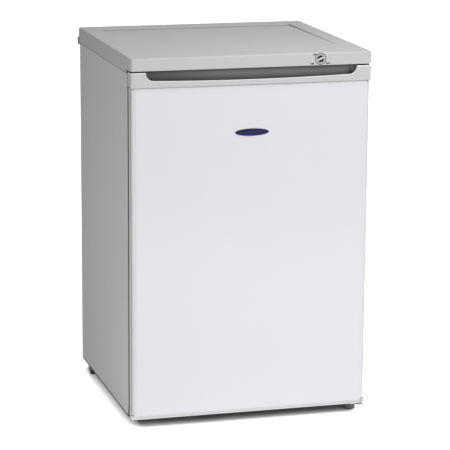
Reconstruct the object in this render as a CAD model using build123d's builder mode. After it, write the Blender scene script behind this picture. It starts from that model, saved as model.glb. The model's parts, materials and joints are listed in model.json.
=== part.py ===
"""Undercounter freezer: a foamed cabinet under a moulded worktop, with one door hinged on the right.

X is the width, the door is at the front towards minus Y, and Z is the height above the floor.
The origin lies on the floor, at the middle of the width and of the whole depth.
"""

import os

from build123d import *

os.makedirs("parts", exist_ok=True)

# Whole appliance
worktop_width = 553
worktop_depth = 545
overall_height = 845
rear_standoff = 29
ground_clearance = 27
sheet = 0.8
sheet_gap = 0.15
seat_gap = 0.2

# Worktop
worktop_wall = 2.5
front_band_wall = 3
front_band_height = 28
side_skirt_height = 35
rear_skirt_height = 22
skirt_wall = 2
skirt_clearance = 0.5
worktop_corner_radius = 7
worktop_edge_radius = 3
recess_depth = 2.5
recess_side_margin = 44
recess_rear_margin = 65
recess_front_margin = 100
core_front_margin = 92
worktop_bracket_width = 30
worktop_bracket_reach = 20
worktop_bracket_height = 22
worktop_bracket_thickness = 1.5
worktop_bracket_x = 220
worktop_screw_height = 16

# Cabinet shell
door_zone = 38
deck_drop = 29
front_flange = 34
rear_flange = 12
side_bend_radius = 2.5
rail_return = 20

# Freezing compartment and its liner
side_wall = 56
top_wall = 50
floor_wall = 49
rear_wall = 50
liner_wall = 1.6
liner_flange = 28
liner_corner_radius = 12
ledge_width = 8
ledge_thickness = 3
ledge_front_margin = 45
ledge_rear_margin = 6

# Compressor bay at the bottom of the back
bay_depth = 150
bay_height = 188
step_foam = 42

# Door
door_front_setback = 3
door_side_inset = 0.5
door_bottom_lift = 2
door_panel_depth = 18.5
door_corner_radius = 14
door_return = 14
door_liner_inset = 5
door_liner_thickness = 2
door_liner_end_gap = 2.5
dike_margin = 12
dike_wall = 1.6
dike_depth = 19.5
dike_radius = 8
end_cap_height = 8
cap_corner_radius = 3
cap_lip_height = 2.5
cap_recess = 1.2
ear_height = 9.5
ear_width = 9
ear_proud = 1
ear_radius = 4

# Gasket
gasket_head_width = 14
gasket_head_depth = 5
gasket_neck_width = 8
gasket_neck_depth = 6
gasket_base_width = 12
gasket_side_inset = 17
gasket_top_inset = 12.5
gasket_bottom_inset = 10
gasket_radius = 10

# Handle trim along the top of the door
trim_gap = 3.5
trim_height = 34.5
trim_side_inset = 1
trim_corner_radius = 5
trim_edge_radius = 2.5
cheek_reach = 12
cheek_thickness = 4
pocket_half_length = 241
pocket_lip_wall = 3.5
pocket_rear_wall = 1.3
pocket_floor = 2.5
pocket_corner_radius = 14
lip_centre_height = 12.2
lip_end_height = 16.5
lip_end_radius = 17
lip_round = 1.2
insert_wall = 1.4
insert_lip_drop = 3

# Badge plate
badge_length = 80
badge_height = 19
badge_thickness = 0.9
badge_drop = 172
badge_edge = 0.35

# Thermostat dial in the front band
dial_x = 156
dial_height_in_band = 14
bezel_radius = 12.5
bezel_wall = 2
bezel_depth = 10
bezel_floor = 1.6
bezel_bore_radius = 5.2
bezel_fit = 0.5
knob_clearance = 0.4
knob_disc_thickness = 2.4
knob_floor_gap = 0.8
knob_front_setback = 0.3
knob_bar_width = 5.2
knob_bar_inset = 0.5
knob_bar_angle = 24
knob_edge_radius = 0.8
shaft_radius = 3
shaft_clearance = 0.05
collar_radius = 5
collar_length = 9
thermostat_width = 34
thermostat_depth = 28
thermostat_height = 17

# Hinges
hinge_side_inset = 10
hinge_front_inset = 13
hinge_plate = 3
hinge_plate_inner_reach = 30
hinge_plate_depth = 76
hinge_plate_nose = 10
hinge_plate_side_gap = 1.2
pin_radius = 3.5
lower_pin_radius = 4
pin_clearance = 0.05
pin_head_radius = 5.5
pin_head_height = 2
pin_point = 0.9
upper_pin_length = 24
lower_pin_length = 21
lower_collar_radius = 6
lower_collar_height = 0.5
bush_radius = 6
bush_flange_radius = 8.5
bush_flange_height = 1.4
bush_length = 22
lower_bush_length = 20
screw_radius = 2
screw_clearance = 0.2
screw_head_radius = 4
screw_head_height = 2.2
screw_length = 12
screw_row_inset = 12
screw_row_pitch = 18

# Front feet
right_foot_side_inset = 17
right_foot_setback = 22
left_foot_side_inset = 35
left_foot_setback = 67
foot_radius = 14
foot_height = 18
foot_bevel = 3
foot_ribs = 24
foot_rib_radius = 1.1
stud_radius = 4
stud_length = 28
stud_clearance = 0.06
stud_hole_clearance = 0.4
nut_radius = 8
nut_height = 7

# Rear rollers
roller_radius = 14
roller_width = 10
roller_side_inset = 12
roller_y = 195
roller_clearance = 0.05
roller_side_gap = 0.6
roller_edge = 1.5
axle_radius = 2.5
axle_end = 1.5
cheek_plate = 2
cheek_plate_half_depth = 9
cheek_foot = 8

# Compressor, its rail and the parts beside it
rail_height = 34
rail_thickness = 2
rail_front_gap = 20
rail_rear_gap = 12
rail_lip = 8
compressor_x = 60
compressor_radius = 62
compressor_height = 138
compressor_dome_radius = 30
compressor_base_radius = 24
compressor_seam_radius = 65
compressor_seam_height = 3
compressor_plate_thickness = 3
compressor_plate_half_length = 92
compressor_plate_half_depth = 40
grommet_radius = 9
grommet_height = 12
grommet_x_reach = 80
grommet_y_reach = 27
bolt_radius = 3
bolt_clearance = 0.2
bolt_head_radius = 6
bolt_head_height = 3
relay_width = 44
relay_depth = 52
relay_height = 56
relay_corner_radius = 4
gland_radius = 9
gland_length = 16
gland_side_inset = 94
gland_height = 70
gland_plate_width = 60
gland_plate_height = 44
gland_plate_thickness = 2
drier_radius = 8
drier_length = 80
drier_side_inset = 66
drier_height = 150
drier_neck = 10

# Evaporator shelves
shelf_tube_radius = 4
shelf_passes = 8
shelf_side_margin = 50
shelf_half_length = 165
shelf_centre_y = -15
shelf_wire_radius = 1.2
shelf_wires = 9
shelf_wire_spacing = 40
shelf_wire_side_gap = 3
shelf_weld = 0.4
lower_shelf_lift = 16
middle_shelf_drop = 254
upper_shelf_drop = 15

# Refrigerant pipes
riser_gap = 13
riser_bend = 12
suction_drop = 15
suction_x = 30
pipe_side_y = 26
pipe_end_share = 0.3
hot_pipe_radius = 2.5
hot_pipe_x = 90
hot_pipe_drop = 25
hot_pipe_side_inset = 44
outlet_drop = 8
hot_pipe_bend = 6
capillary_radius = 1.2
capillary_bend = 6
capillary_lane_gap = 4
capillary_drop = 14

# Drawers
drawer_side_gap = 20
drawer_wall = 2.2
drawer_corner_radius = 14
drawer_bottom_radius = 5
drawer_rim = 4
drawer_rim_thickness = 2.5
drawer_lift = 0.5
drawer_head_gap = 6
drawer_depth = 402
lower_drawer_rear_gap = 8
drawer_front_gap = 8
front_plate_overhang = 7
front_plate_thickness = 14
front_plate_radius = 6
grip_length = 130
grip_height = 24
grip_drop = 20
front_seat_gap = 0.2

# Condenser on the back
condenser_tube_radius = 2.5
condenser_passes = 12
condenser_pitch = 36
condenser_bottom = 320
condenser_side_margin = 84
condenser_wires = 14
condenser_wire_spacing = 28
condenser_wire_radius = 0.9
condenser_wall_gap = 10
condenser_weld = 0.35
clip_width = 14
clip_height = 12
clip_x = 120

# Rear spacers
spacer_width = 14
spacer_height = 17
spacer_skirt_gap = 4
spacer_side_inset = 1
spacer_edge = 2

# Places worked out from the sizes above
worktop_front = -(worktop_depth + rear_standoff) / 2
worktop_rear = worktop_front + worktop_depth
wall_plane = worktop_rear + rear_standoff
half_worktop = worktop_width / 2
half_cabinet = half_worktop - skirt_wall - skirt_clearance
cabinet_front = worktop_front + door_zone
cabinet_rear = worktop_rear - worktop_wall - skirt_clearance
cabinet_bottom = ground_clearance
cabinet_top = overall_height - deck_drop
panel_half = half_cabinet - sheet - sheet_gap
back_panel_front = cabinet_rear - 2 * sheet
worktop_ceiling = overall_height - worktop_wall - recess_depth
band_bottom = overall_height - front_band_height

half_cavity = half_cabinet - side_wall
cavity_top = cabinet_top - top_wall
cavity_bottom = cabinet_bottom + floor_wall
cavity_rear = cabinet_rear - rear_wall
flange_reveal = side_wall - front_flange
liner_front = cabinet_front + sheet + sheet_gap
bay_front = cabinet_rear - bay_depth
bay_top = cabinet_bottom + bay_height
hump_front = bay_front - sheet - step_foam
hump_top = bay_top + sheet + step_foam

door_front = worktop_front + door_front_setback
door_rear = door_front + door_panel_depth
half_trim = half_worktop - trim_side_inset
half_door = half_trim - door_side_inset
door_top = band_bottom - trim_gap
door_bottom = cabinet_bottom + door_bottom_lift
trim_bottom = door_top - trim_height
panel_bottom = door_bottom + end_cap_height
liner_back = door_rear + door_liner_thickness
half_dike = half_cavity - dike_margin
dike_top = cavity_top - dike_margin
dike_bottom = cavity_bottom + dike_margin
dike_rear = liner_back + dike_depth
trim_rear = door_rear - seat_gap

hinge_x = half_trim - hinge_side_inset
hinge_y = worktop_front + hinge_front_inset
foot_places = [
    (left_foot_side_inset - half_cabinet, cabinet_front + left_foot_setback),
    (half_cabinet - right_foot_side_inset, cabinet_front + right_foot_setback),
]
dial_z = band_bottom + dial_height_in_band
bezel_inner = bezel_radius - bezel_wall
bezel_back = worktop_front + bezel_depth
knob_radius = bezel_inner - knob_clearance
roller_x = half_cabinet - roller_side_inset
axle_z = roller_radius

wire_drop = shelf_tube_radius + 2 * shelf_wire_radius - shelf_weld
lower_shelf_height = hump_top + lower_shelf_lift
middle_shelf_height = cavity_top - middle_shelf_drop
upper_shelf_height = cavity_top - upper_shelf_drop
shelf_heights = {
    "lower": lower_shelf_height,
    "middle": middle_shelf_height,
    "upper": upper_shelf_height,
}
drawer_front_y = dike_rear + drawer_front_gap
shelf_side_x = half_cavity - shelf_side_margin
shelf_pitch = 2 * shelf_side_x / (shelf_passes - 1)
shelf_end_y = shelf_centre_y + shelf_half_length
drawer_half_width = half_cavity - drawer_side_gap
drier_x = half_cabinet - drier_side_inset
hot_pipe_riser_x = half_cabinet - hot_pipe_side_inset
condenser_half_length = half_cabinet - condenser_side_margin
gland_x = gland_side_inset - half_cabinet


def slab(low, high, mode=Mode.ADD):
    """A box between its lowest and its highest corner."""
    size = [top - bottom for bottom, top in zip(low, high)]
    centre = tuple((top + bottom) / 2 for bottom, top in zip(low, high))
    with Locations(centre):
        Box(*size, mode=mode)


def rod(foot, radius, length, axis=Axis.Z, mode=Mode.ADD):
    """A cylinder that starts at foot and runs along an axis."""
    with Locations(Plane(origin=foot, z_dir=axis.direction)):
        Cylinder(radius, length, align=(Align.CENTER, Align.CENTER, Align.MIN), mode=mode)


def save(piece, label):
    """Names a finished piece and writes it to its file."""
    piece.part.label = label
    export_step(piece.part, f"parts/{label}.step")


# Screws of both hinge plates, as X, Y, the height of the head's seat, and the way up
plate_inner_x = half_cabinet - hinge_plate_inner_reach
plate_outer_x = half_cabinet - hinge_plate_side_gap
plate_rear_y = hinge_y + hinge_plate_depth
screw_x = (plate_inner_x + plate_outer_x) / 2
hinge_screw_ys = [plate_rear_y - screw_row_inset - n * screw_row_pitch for n in range(2)]
lower_screw_ys = [plate_rear_y - screw_row_inset]

# Folded steel side panels, with a flange for the gasket at the front and one for the back panel
for side, name in ((-1, "left_side_panel"), (1, "right_side_panel")):
    outer = side * half_cabinet
    inner = side * (half_cabinet - sheet)
    front_edge = side * (half_cabinet - front_flange)
    rear_edge = side * (half_cabinet - rear_flange)
    with BuildPart() as side_panel:
        with BuildSketch(Plane.XY.offset(cabinet_bottom)):
            with BuildLine():
                Polyline(
                    (front_edge, cabinet_front),
                    (outer, cabinet_front),
                    (outer, cabinet_rear),
                    (rear_edge, cabinet_rear),
                    (rear_edge, cabinet_rear - sheet),
                    (inner, cabinet_rear - sheet),
                    (inner, cabinet_front + sheet),
                    (front_edge, cabinet_front + sheet),
                    close=True,
                )
            make_face()
        extrude(amount=cabinet_top - cabinet_bottom)
        upright = side_panel.edges().filter_by(Axis.Z)
        corners = upright.sort_by(Axis.X, reverse=side > 0)[:2]
        fillet(corners, side_bend_radius)
    save(side_panel, name)

# Holes through the back wall for the suction pipe and the capillary, as X, Z and radius
passages = [
    (-shelf_side_x, shelf_heights["lower"], shelf_tube_radius + seat_gap),
    (shelf_side_x, shelf_heights["upper"], capillary_radius + seat_gap),
]

# Steel sheet that closes the back of the foam, above the compressor bay
with BuildPart() as back_panel:
    slab(
        (-panel_half, back_panel_front, bay_top + sheet),
        (panel_half, back_panel_front + sheet, cabinet_top - sheet),
    )
    for hole_x, hole_z, hole_radius in passages:
        rod((hole_x, back_panel_front - sheet, hole_z), hole_radius, 3 * sheet, Axis.Y, Mode.SUBTRACT)
save(back_panel, "back_panel")

# Steel deck under the worktop
with BuildPart() as top_deck:
    slab(
        (-panel_half, liner_front, cabinet_top - sheet),
        (panel_half, cabinet_rear - sheet - sheet_gap, cabinet_top),
    )
    for screw_y in hinge_screw_ys:
        rod((screw_x, screw_y, cabinet_top - 2 * sheet), screw_radius + screw_clearance, 3 * sheet,
            mode=Mode.SUBTRACT)
save(top_deck, "top_deck")

# Base sheet, bent up in front of the compressor bay and back over it
with BuildPart() as base_panel:
    with BuildSketch(Plane.YZ.offset(-panel_half)):
        with BuildLine():
            Polyline(
                (liner_front, cabinet_bottom),
                (bay_front, cabinet_bottom),
                (bay_front, bay_top),
                (back_panel_front + sheet, bay_top),
                (back_panel_front + sheet, bay_top + sheet),
                (bay_front - sheet, bay_top + sheet),
                (bay_front - sheet, cabinet_bottom + sheet),
                (liner_front, cabinet_bottom + sheet),
                close=True,
            )
        make_face()
    extrude(amount=2 * panel_half)
    for foot_place in foot_places:
        rod((*foot_place, cabinet_bottom - sheet), stud_radius + stud_hole_clearance, 3 * sheet,
            mode=Mode.SUBTRACT)
    for screw_y in lower_screw_ys:
        rod((screw_x, screw_y, cabinet_bottom - sheet), screw_radius + screw_clearance, 3 * sheet,
            mode=Mode.SUBTRACT)
save(base_panel, "base_panel")

# Cross rails that carry the gasket over and under the opening
rail_half = half_cabinet - front_flange - sheet_gap
with BuildPart() as front_top_rail:
    slab(
        (-rail_half, cabinet_front, cavity_top + flange_reveal),
        (rail_half, cabinet_front + sheet, cabinet_top),
    )
    slab(
        (-rail_half, cabinet_front, cabinet_top - 2 * sheet - sheet_gap),
        (rail_half, cabinet_front + rail_return, cabinet_top - sheet - sheet_gap),
    )
save(front_top_rail, "front_top_rail")

with BuildPart() as front_bottom_rail:
    slab(
        (-rail_half, cabinet_front, cabinet_bottom),
        (rail_half, cabinet_front + sheet, cavity_bottom - flange_reveal),
    )
    slab(
        (-rail_half, cabinet_front, cabinet_bottom + sheet + sheet_gap),
        (rail_half, cabinet_front + rail_return, cabinet_bottom + 2 * sheet + sheet_gap),
    )
save(front_bottom_rail, "front_bottom_rail")


def stepped_block(half_width, front_y, grow, radius, mode=Mode.ADD):
    """The freezing compartment's stepped side view, grown on every wall and run across the width."""
    with BuildSketch(Plane.YZ.offset(-half_width)) as side_view:
        with BuildLine():
            Polyline(
                (front_y, cavity_bottom - grow),
                (hump_front + grow, cavity_bottom - grow),
                (hump_front + grow, hump_top - grow),
                (cavity_rear + grow, hump_top - grow),
                (cavity_rear + grow, cavity_top + grow),
                (front_y, cavity_top + grow),
                close=True,
            )
        make_face()
        back_corners = side_view.vertices().filter_by(lambda corner: corner.X > front_y + radius)
        fillet(back_corners, radius)
    extrude(side_view.sketch, amount=2 * half_width, mode=mode)


# Moulded liner with its step over the compressor, its flange and the ledges for the shelves
with BuildPart() as inner_liner:
    stepped_block(half_cavity + liner_wall, liner_front, liner_wall, liner_corner_radius)
    slab(
        (-half_cavity - liner_flange, liner_front, cavity_bottom - liner_flange),
        (half_cavity + liner_flange, liner_front + liner_wall, cavity_top + liner_flange),
    )
    stepped_block(half_cavity, liner_front - liner_wall, 0, liner_corner_radius, Mode.SUBTRACT)
    for shelf_height in shelf_heights.values():
        ledge_top = shelf_height - wire_drop - sheet_gap
        for side in (-1, 1):
            reach = sorted((side * half_cavity, side * (half_cavity - ledge_width)))
            slab(
                (reach[0], liner_front + ledge_front_margin, ledge_top - ledge_thickness),
                (reach[1], cavity_rear - ledge_rear_margin, ledge_top),
            )
    for hole_x, hole_z, hole_radius in passages:
        rod((hole_x, cavity_rear - liner_wall, hole_z), hole_radius, 3 * liner_wall, Axis.Y, Mode.SUBTRACT)
save(inner_liner, "inner_liner")

# Insulating foam between the steel shell and the liner
with BuildPart() as cabinet_foam:
    with BuildSketch(Plane.YZ.offset(-panel_half)):
        with BuildLine():
            Polyline(
                (liner_front, cabinet_bottom + sheet + sheet_gap),
                (bay_front - sheet - sheet_gap, cabinet_bottom + sheet + sheet_gap),
                (bay_front - sheet - sheet_gap, bay_top + sheet + sheet_gap),
                (back_panel_front - sheet_gap, bay_top + sheet + sheet_gap),
                (back_panel_front - sheet_gap, cabinet_top - sheet - sheet_gap),
                (liner_front, cabinet_top - sheet - sheet_gap),
                close=True,
            )
        make_face()
    extrude(amount=2 * panel_half)
    stepped_block(half_cavity + liner_wall + seat_gap, liner_front - liner_wall,
                  liner_wall + seat_gap, liner_corner_radius, Mode.SUBTRACT)
    slab(
        (-half_cavity - liner_flange - sheet_gap, liner_front - sheet,
         cavity_bottom - liner_flange - sheet_gap),
        (half_cavity + liner_flange + sheet_gap, liner_front + liner_wall + sheet_gap,
         cavity_top + liner_flange + sheet_gap),
        Mode.SUBTRACT,
    )
    for low, high in (
        (cabinet_bottom, cabinet_bottom + 2 * sheet + 2 * sheet_gap),
        (cabinet_top - 2 * sheet - 2 * sheet_gap, cabinet_top),
    ):
        slab((-rail_half - sheet_gap, liner_front - sheet, low),
             (rail_half + sheet_gap, cabinet_front + rail_return + sheet_gap, high), Mode.SUBTRACT)
    for foot_place in foot_places:
        rod((*foot_place, cabinet_bottom), nut_radius + seat_gap, stud_length, mode=Mode.SUBTRACT)
    for screw_y in hinge_screw_ys:
        rod((screw_x, screw_y, cabinet_top - screw_length), screw_radius + screw_clearance, screw_length,
            mode=Mode.SUBTRACT)
    for screw_y in lower_screw_ys:
        rod((screw_x, screw_y, cabinet_bottom), screw_radius + screw_clearance, screw_length,
            mode=Mode.SUBTRACT)
    for hole_x, hole_z, hole_radius in passages:
        rod((hole_x, cavity_rear, hole_z), hole_radius, rear_wall, Axis.Y, Mode.SUBTRACT)
save(cabinet_foam, "cabinet_foam")

# Moulded worktop: a shallow tray on top, a tall skirt at the sides and a band over the door
with BuildPart() as worktop_shell:
    slab(
        (-half_worktop, worktop_front, overall_height - side_skirt_height),
        (half_worktop, worktop_rear, overall_height),
    )
    fillet(worktop_shell.edges().filter_by(Axis.Z), worktop_corner_radius)
    fillet(worktop_shell.faces().sort_by(Axis.Z)[-1].edges(), worktop_edge_radius)
    slab(
        (-half_worktop, worktop_front, overall_height - side_skirt_height),
        (half_worktop, cabinet_front, band_bottom),
        Mode.SUBTRACT,
    )
    with BuildSketch(Plane.XY.offset(worktop_ceiling)) as hollow:
        with Locations((0, (worktop_front + front_band_wall + worktop_rear - worktop_wall) / 2)):
            RectangleRounded(
                worktop_width - 2 * skirt_wall,
                worktop_depth - front_band_wall - worktop_wall,
                side_bend_radius + skirt_clearance,
            )
    extrude(amount=-side_skirt_height, mode=Mode.SUBTRACT)
    slab(
        (-half_worktop + skirt_wall, worktop_rear - worktop_wall - skirt_clearance,
         overall_height - side_skirt_height),
        (half_worktop - skirt_wall, worktop_rear, overall_height - rear_skirt_height),
        Mode.SUBTRACT,
    )
    with BuildSketch(Plane.YZ.offset(-half_worktop + recess_side_margin)):
        with BuildLine():
            Polyline(
                (worktop_rear - recess_rear_margin, overall_height),
                (worktop_rear - recess_rear_margin, overall_height - recess_depth),
                (worktop_front + recess_front_margin, overall_height),
                close=True,
            )
        make_face()
    extrude(amount=worktop_width - 2 * recess_side_margin, mode=Mode.SUBTRACT)
    rod((dial_x, worktop_front, dial_z), bezel_radius + bezel_fit, bezel_depth + seat_gap, Axis.Y,
        Mode.SUBTRACT)
    for side in (-1, 1):
        rod((side * worktop_bracket_x, worktop_rear - 2 * worktop_wall, cabinet_top + worktop_screw_height),
            screw_radius + screw_clearance, 3 * worktop_wall, Axis.Y, Mode.SUBTRACT)
save(worktop_shell, "worktop_shell")

# Stiff foam block that carries the worktop on the deck
bracket_rear = worktop_rear - worktop_wall - seat_gap
with BuildPart() as worktop_core:
    slab(
        (-half_worktop + skirt_wall + seat_gap, worktop_front + core_front_margin, cabinet_top + seat_gap),
        (half_worktop - skirt_wall - seat_gap, cabinet_rear - seat_gap, worktop_ceiling - seat_gap),
    )
    fillet(worktop_core.edges().filter_by(Axis.Z), worktop_corner_radius)
    for side in (-1, 1):
        slab(
            (side * worktop_bracket_x - worktop_bracket_width / 2 - seat_gap,
             bracket_rear - worktop_bracket_reach - seat_gap, cabinet_top),
            (side * worktop_bracket_x + worktop_bracket_width / 2 + seat_gap, worktop_rear, worktop_ceiling),
            Mode.SUBTRACT,
        )
save(worktop_core, "worktop_core")

# Angle brackets that hold the worktop at the back, and their screws
with BuildPart() as worktop_brackets:
    for side in (-1, 1):
        left = side * worktop_bracket_x - worktop_bracket_width / 2
        right = left + worktop_bracket_width
        slab((left, bracket_rear - worktop_bracket_reach, cabinet_top),
             (right, bracket_rear, cabinet_top + worktop_bracket_thickness))
        slab((left, bracket_rear - worktop_bracket_thickness, cabinet_top),
             (right, bracket_rear, cabinet_top + worktop_bracket_height))
        rod((side * worktop_bracket_x, bracket_rear - 2 * worktop_bracket_thickness,
             cabinet_top + worktop_screw_height), screw_radius + screw_clearance,
            3 * worktop_bracket_thickness, Axis.Y, Mode.SUBTRACT)
save(worktop_brackets, "worktop_brackets")

with BuildPart() as worktop_screws:
    for side in (-1, 1):
        screw_z = cabinet_top + worktop_screw_height
        rod((side * worktop_bracket_x, worktop_rear, screw_z), screw_head_radius, screw_head_height, Axis.Y)
        rod((side * worktop_bracket_x, worktop_rear - screw_length, screw_z), screw_radius, screw_length,
            Axis.Y)
save(worktop_screws, "worktop_screws")

# Spacers that keep the appliance off the wall behind it
with BuildPart() as rear_spacers:
    spacer_top = overall_height - rear_skirt_height - spacer_skirt_gap
    for side in (-1, 1):
        reach = sorted((side * (half_cabinet - spacer_side_inset),
                        side * (half_cabinet - spacer_side_inset - spacer_width)))
        slab((reach[0], cabinet_rear, spacer_top - spacer_height), (reach[1], wall_plane, spacer_top))
    fillet(rear_spacers.faces().sort_by(Axis.Y)[-2:].edges(), spacer_edge)
save(rear_spacers, "rear_spacers")

# Upper hinge: a plate on the deck with a pin that points down into the door
with BuildPart() as upper_hinge_bracket:
    slab((plate_inner_x, hinge_y, cabinet_top), (plate_outer_x, plate_rear_y, cabinet_top + hinge_plate))
    slab((hinge_x - hinge_plate_nose, hinge_y - hinge_plate_nose, cabinet_top),
         (plate_outer_x, hinge_y, cabinet_top + hinge_plate))
    fillet(upper_hinge_bracket.edges().filter_by(Axis.Z).sort_by(Axis.Y)[:2], hinge_plate_nose / 2)
    rod((hinge_x, hinge_y, cabinet_top), pin_radius + pin_clearance, hinge_plate, mode=Mode.SUBTRACT)
    for screw_y in hinge_screw_ys:
        rod((screw_x, screw_y, cabinet_top), screw_radius + screw_clearance, hinge_plate, mode=Mode.SUBTRACT)
save(upper_hinge_bracket, "upper_hinge_bracket")

with BuildPart() as upper_hinge_pin:
    pin_seat = cabinet_top + hinge_plate
    rod((hinge_x, hinge_y, pin_seat - upper_pin_length), pin_radius, upper_pin_length)
    rod((hinge_x, hinge_y, pin_seat), pin_head_radius, pin_head_height)
    chamfer(upper_hinge_pin.faces().sort_by(Axis.Z)[0].edges(), pin_point)
save(upper_hinge_pin, "upper_hinge_pin")

# Lower hinge: a plate under the base with a pin that stands up into the door and carries its weight
lower_plate_bottom = cabinet_bottom - hinge_plate
with BuildPart() as lower_hinge_bracket:
    slab((plate_inner_x, hinge_y, lower_plate_bottom), (plate_outer_x, plate_rear_y, cabinet_bottom))
    slab((hinge_x - hinge_plate_nose, hinge_y - hinge_plate_nose, lower_plate_bottom),
         (plate_outer_x, hinge_y, cabinet_bottom))
    fillet(lower_hinge_bracket.edges().filter_by(Axis.Z).sort_by(Axis.Y)[:2], hinge_plate_nose / 2)
    rod((hinge_x, hinge_y, lower_plate_bottom), lower_pin_radius + pin_clearance, hinge_plate,
        mode=Mode.SUBTRACT)
    rod((*foot_places[-1], lower_plate_bottom), stud_radius + stud_hole_clearance, hinge_plate,
        mode=Mode.SUBTRACT)
    for screw_y in lower_screw_ys:
        rod((screw_x, screw_y, lower_plate_bottom), screw_radius + screw_clearance, hinge_plate,
            mode=Mode.SUBTRACT)
save(lower_hinge_bracket, "lower_hinge_bracket")

with BuildPart() as lower_hinge_pin:
    rod((hinge_x, hinge_y, lower_plate_bottom), lower_pin_radius, lower_pin_length)
    rod((hinge_x, hinge_y, lower_plate_bottom - pin_head_height), pin_head_radius, pin_head_height)
    rod((hinge_x, hinge_y, cabinet_bottom), lower_collar_radius, lower_collar_height)
    chamfer(lower_hinge_pin.faces().sort_by(Axis.Z)[-1].edges(), pin_point)
save(lower_hinge_pin, "lower_hinge_pin")

with BuildPart() as hinge_screws:
    for screw_y in hinge_screw_ys:
        seat = cabinet_top + hinge_plate
        rod((screw_x, screw_y, seat), screw_head_radius, screw_head_height)
        rod((screw_x, screw_y, seat - screw_length), screw_radius, screw_length)
    for screw_y in lower_screw_ys:
        rod((screw_x, screw_y, lower_plate_bottom - screw_head_height), screw_head_radius, screw_head_height)
        rod((screw_x, screw_y, lower_plate_bottom), screw_radius, screw_length)
save(hinge_screws, "hinge_screws")

# Door skin: one folded sheet with rounded front edges and returns behind
ear_left = half_trim - ear_width
ear_front = door_front - ear_proud
ear_top = door_bottom + ear_height
with BuildPart() as door_panel:
    with BuildSketch(Plane.XY.offset(panel_bottom)) as skin_outline:
        with Locations((0, (door_front + door_rear) / 2)):
            Rectangle(2 * half_door, door_panel_depth)
        fillet(skin_outline.vertices().group_by(Axis.Y)[0], door_corner_radius)
        offset(amount=-sheet, mode=Mode.SUBTRACT)
        with Locations((0, door_rear)):
            Rectangle(2 * (half_door - door_return), 4 * sheet, mode=Mode.SUBTRACT)
    extrude(amount=trim_bottom - panel_bottom)
    slab((ear_left - seat_gap, door_front - sheet, panel_bottom),
         (half_door + sheet, door_rear + sheet, ear_top + seat_gap), Mode.SUBTRACT)
save(door_panel, "door_panel")

# Foam inside the door, with the raised part behind the dike
with BuildPart() as door_foam:
    foam_inset = sheet + sheet_gap
    with BuildSketch(Plane.XY.offset(panel_bottom + sheet_gap)) as foam_outline:
        with Locations((0, (door_front + door_rear) / 2)):
            Rectangle(2 * (half_door - foam_inset), door_panel_depth - 2 * foam_inset)
        fillet(foam_outline.vertices().group_by(Axis.Y)[0], door_corner_radius - foam_inset)
    extrude(amount=trim_bottom - panel_bottom - 2 * sheet_gap)
    slab((-half_dike + dike_wall + sheet_gap, door_rear - 2 * foam_inset,
          dike_bottom + dike_wall + sheet_gap),
         (half_dike - dike_wall - sheet_gap, dike_rear - dike_wall - sheet_gap,
          dike_top - dike_wall - sheet_gap))
    slab((ear_left - 2 * seat_gap, door_front, panel_bottom),
         (half_door, door_rear, ear_top + 2 * seat_gap), Mode.SUBTRACT)
    rod((hinge_x, hinge_y, door_bottom), bush_radius + seat_gap, lower_bush_length + seat_gap,
        mode=Mode.SUBTRACT)
save(door_foam, "door_foam")

# Moulded door liner: a flat rim for the gasket and a raised dike that enters the compartment
with BuildPart() as door_liner:
    slab((-half_dike, liner_back, dike_bottom), (half_dike, dike_rear, dike_top))
    fillet(door_liner.edges().filter_by(Axis.Y), dike_radius)
    fillet(door_liner.faces().sort_by(Axis.Y)[-1].edges(), dike_radius / 2)
    slab((-half_door + door_liner_inset, door_rear, door_bottom + door_liner_end_gap),
         (half_door - door_liner_inset, liner_back, door_top - door_liner_end_gap))
    slab((-half_dike + dike_wall, door_rear - sheet, dike_bottom + dike_wall),
         (half_dike - dike_wall, dike_rear - dike_wall, dike_top - dike_wall), Mode.SUBTRACT)
save(door_liner, "door_liner")

# Magnetic gasket: a base on the liner, a soft neck and a wide head against the cabinet
gasket_head_y = cabinet_front - seat_gap
gasket_neck_rear = gasket_head_y - gasket_head_depth
gasket_neck_front = gasket_neck_rear - gasket_neck_depth
gasket_levels = [
    (gasket_base_width, liner_back, gasket_neck_front),
    (gasket_neck_width, gasket_neck_front, gasket_neck_rear),
    (gasket_head_width, gasket_neck_rear, gasket_head_y),
]
gasket_mid_half = half_cabinet - gasket_side_inset - gasket_head_width / 2
gasket_mid_top = cabinet_top - gasket_top_inset - gasket_head_width / 2
gasket_mid_bottom = cabinet_bottom + gasket_bottom_inset + gasket_head_width / 2
gasket_mid_z = (gasket_mid_top + gasket_mid_bottom) / 2
with BuildPart() as door_gasket:
    for strip_width, strip_front, strip_rear in gasket_levels:
        with BuildSketch(Plane.XZ.offset(-strip_front)):
            with Locations((0, gasket_mid_z)):
                RectangleRounded(2 * gasket_mid_half + strip_width,
                                 gasket_mid_top - gasket_mid_bottom + strip_width,
                                 gasket_radius + strip_width / 2)
                RectangleRounded(2 * gasket_mid_half - strip_width,
                                 gasket_mid_top - gasket_mid_bottom - strip_width,
                                 gasket_radius - strip_width / 2, mode=Mode.SUBTRACT)
        extrude(amount=strip_front - strip_rear)
save(door_gasket, "door_gasket")

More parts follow.
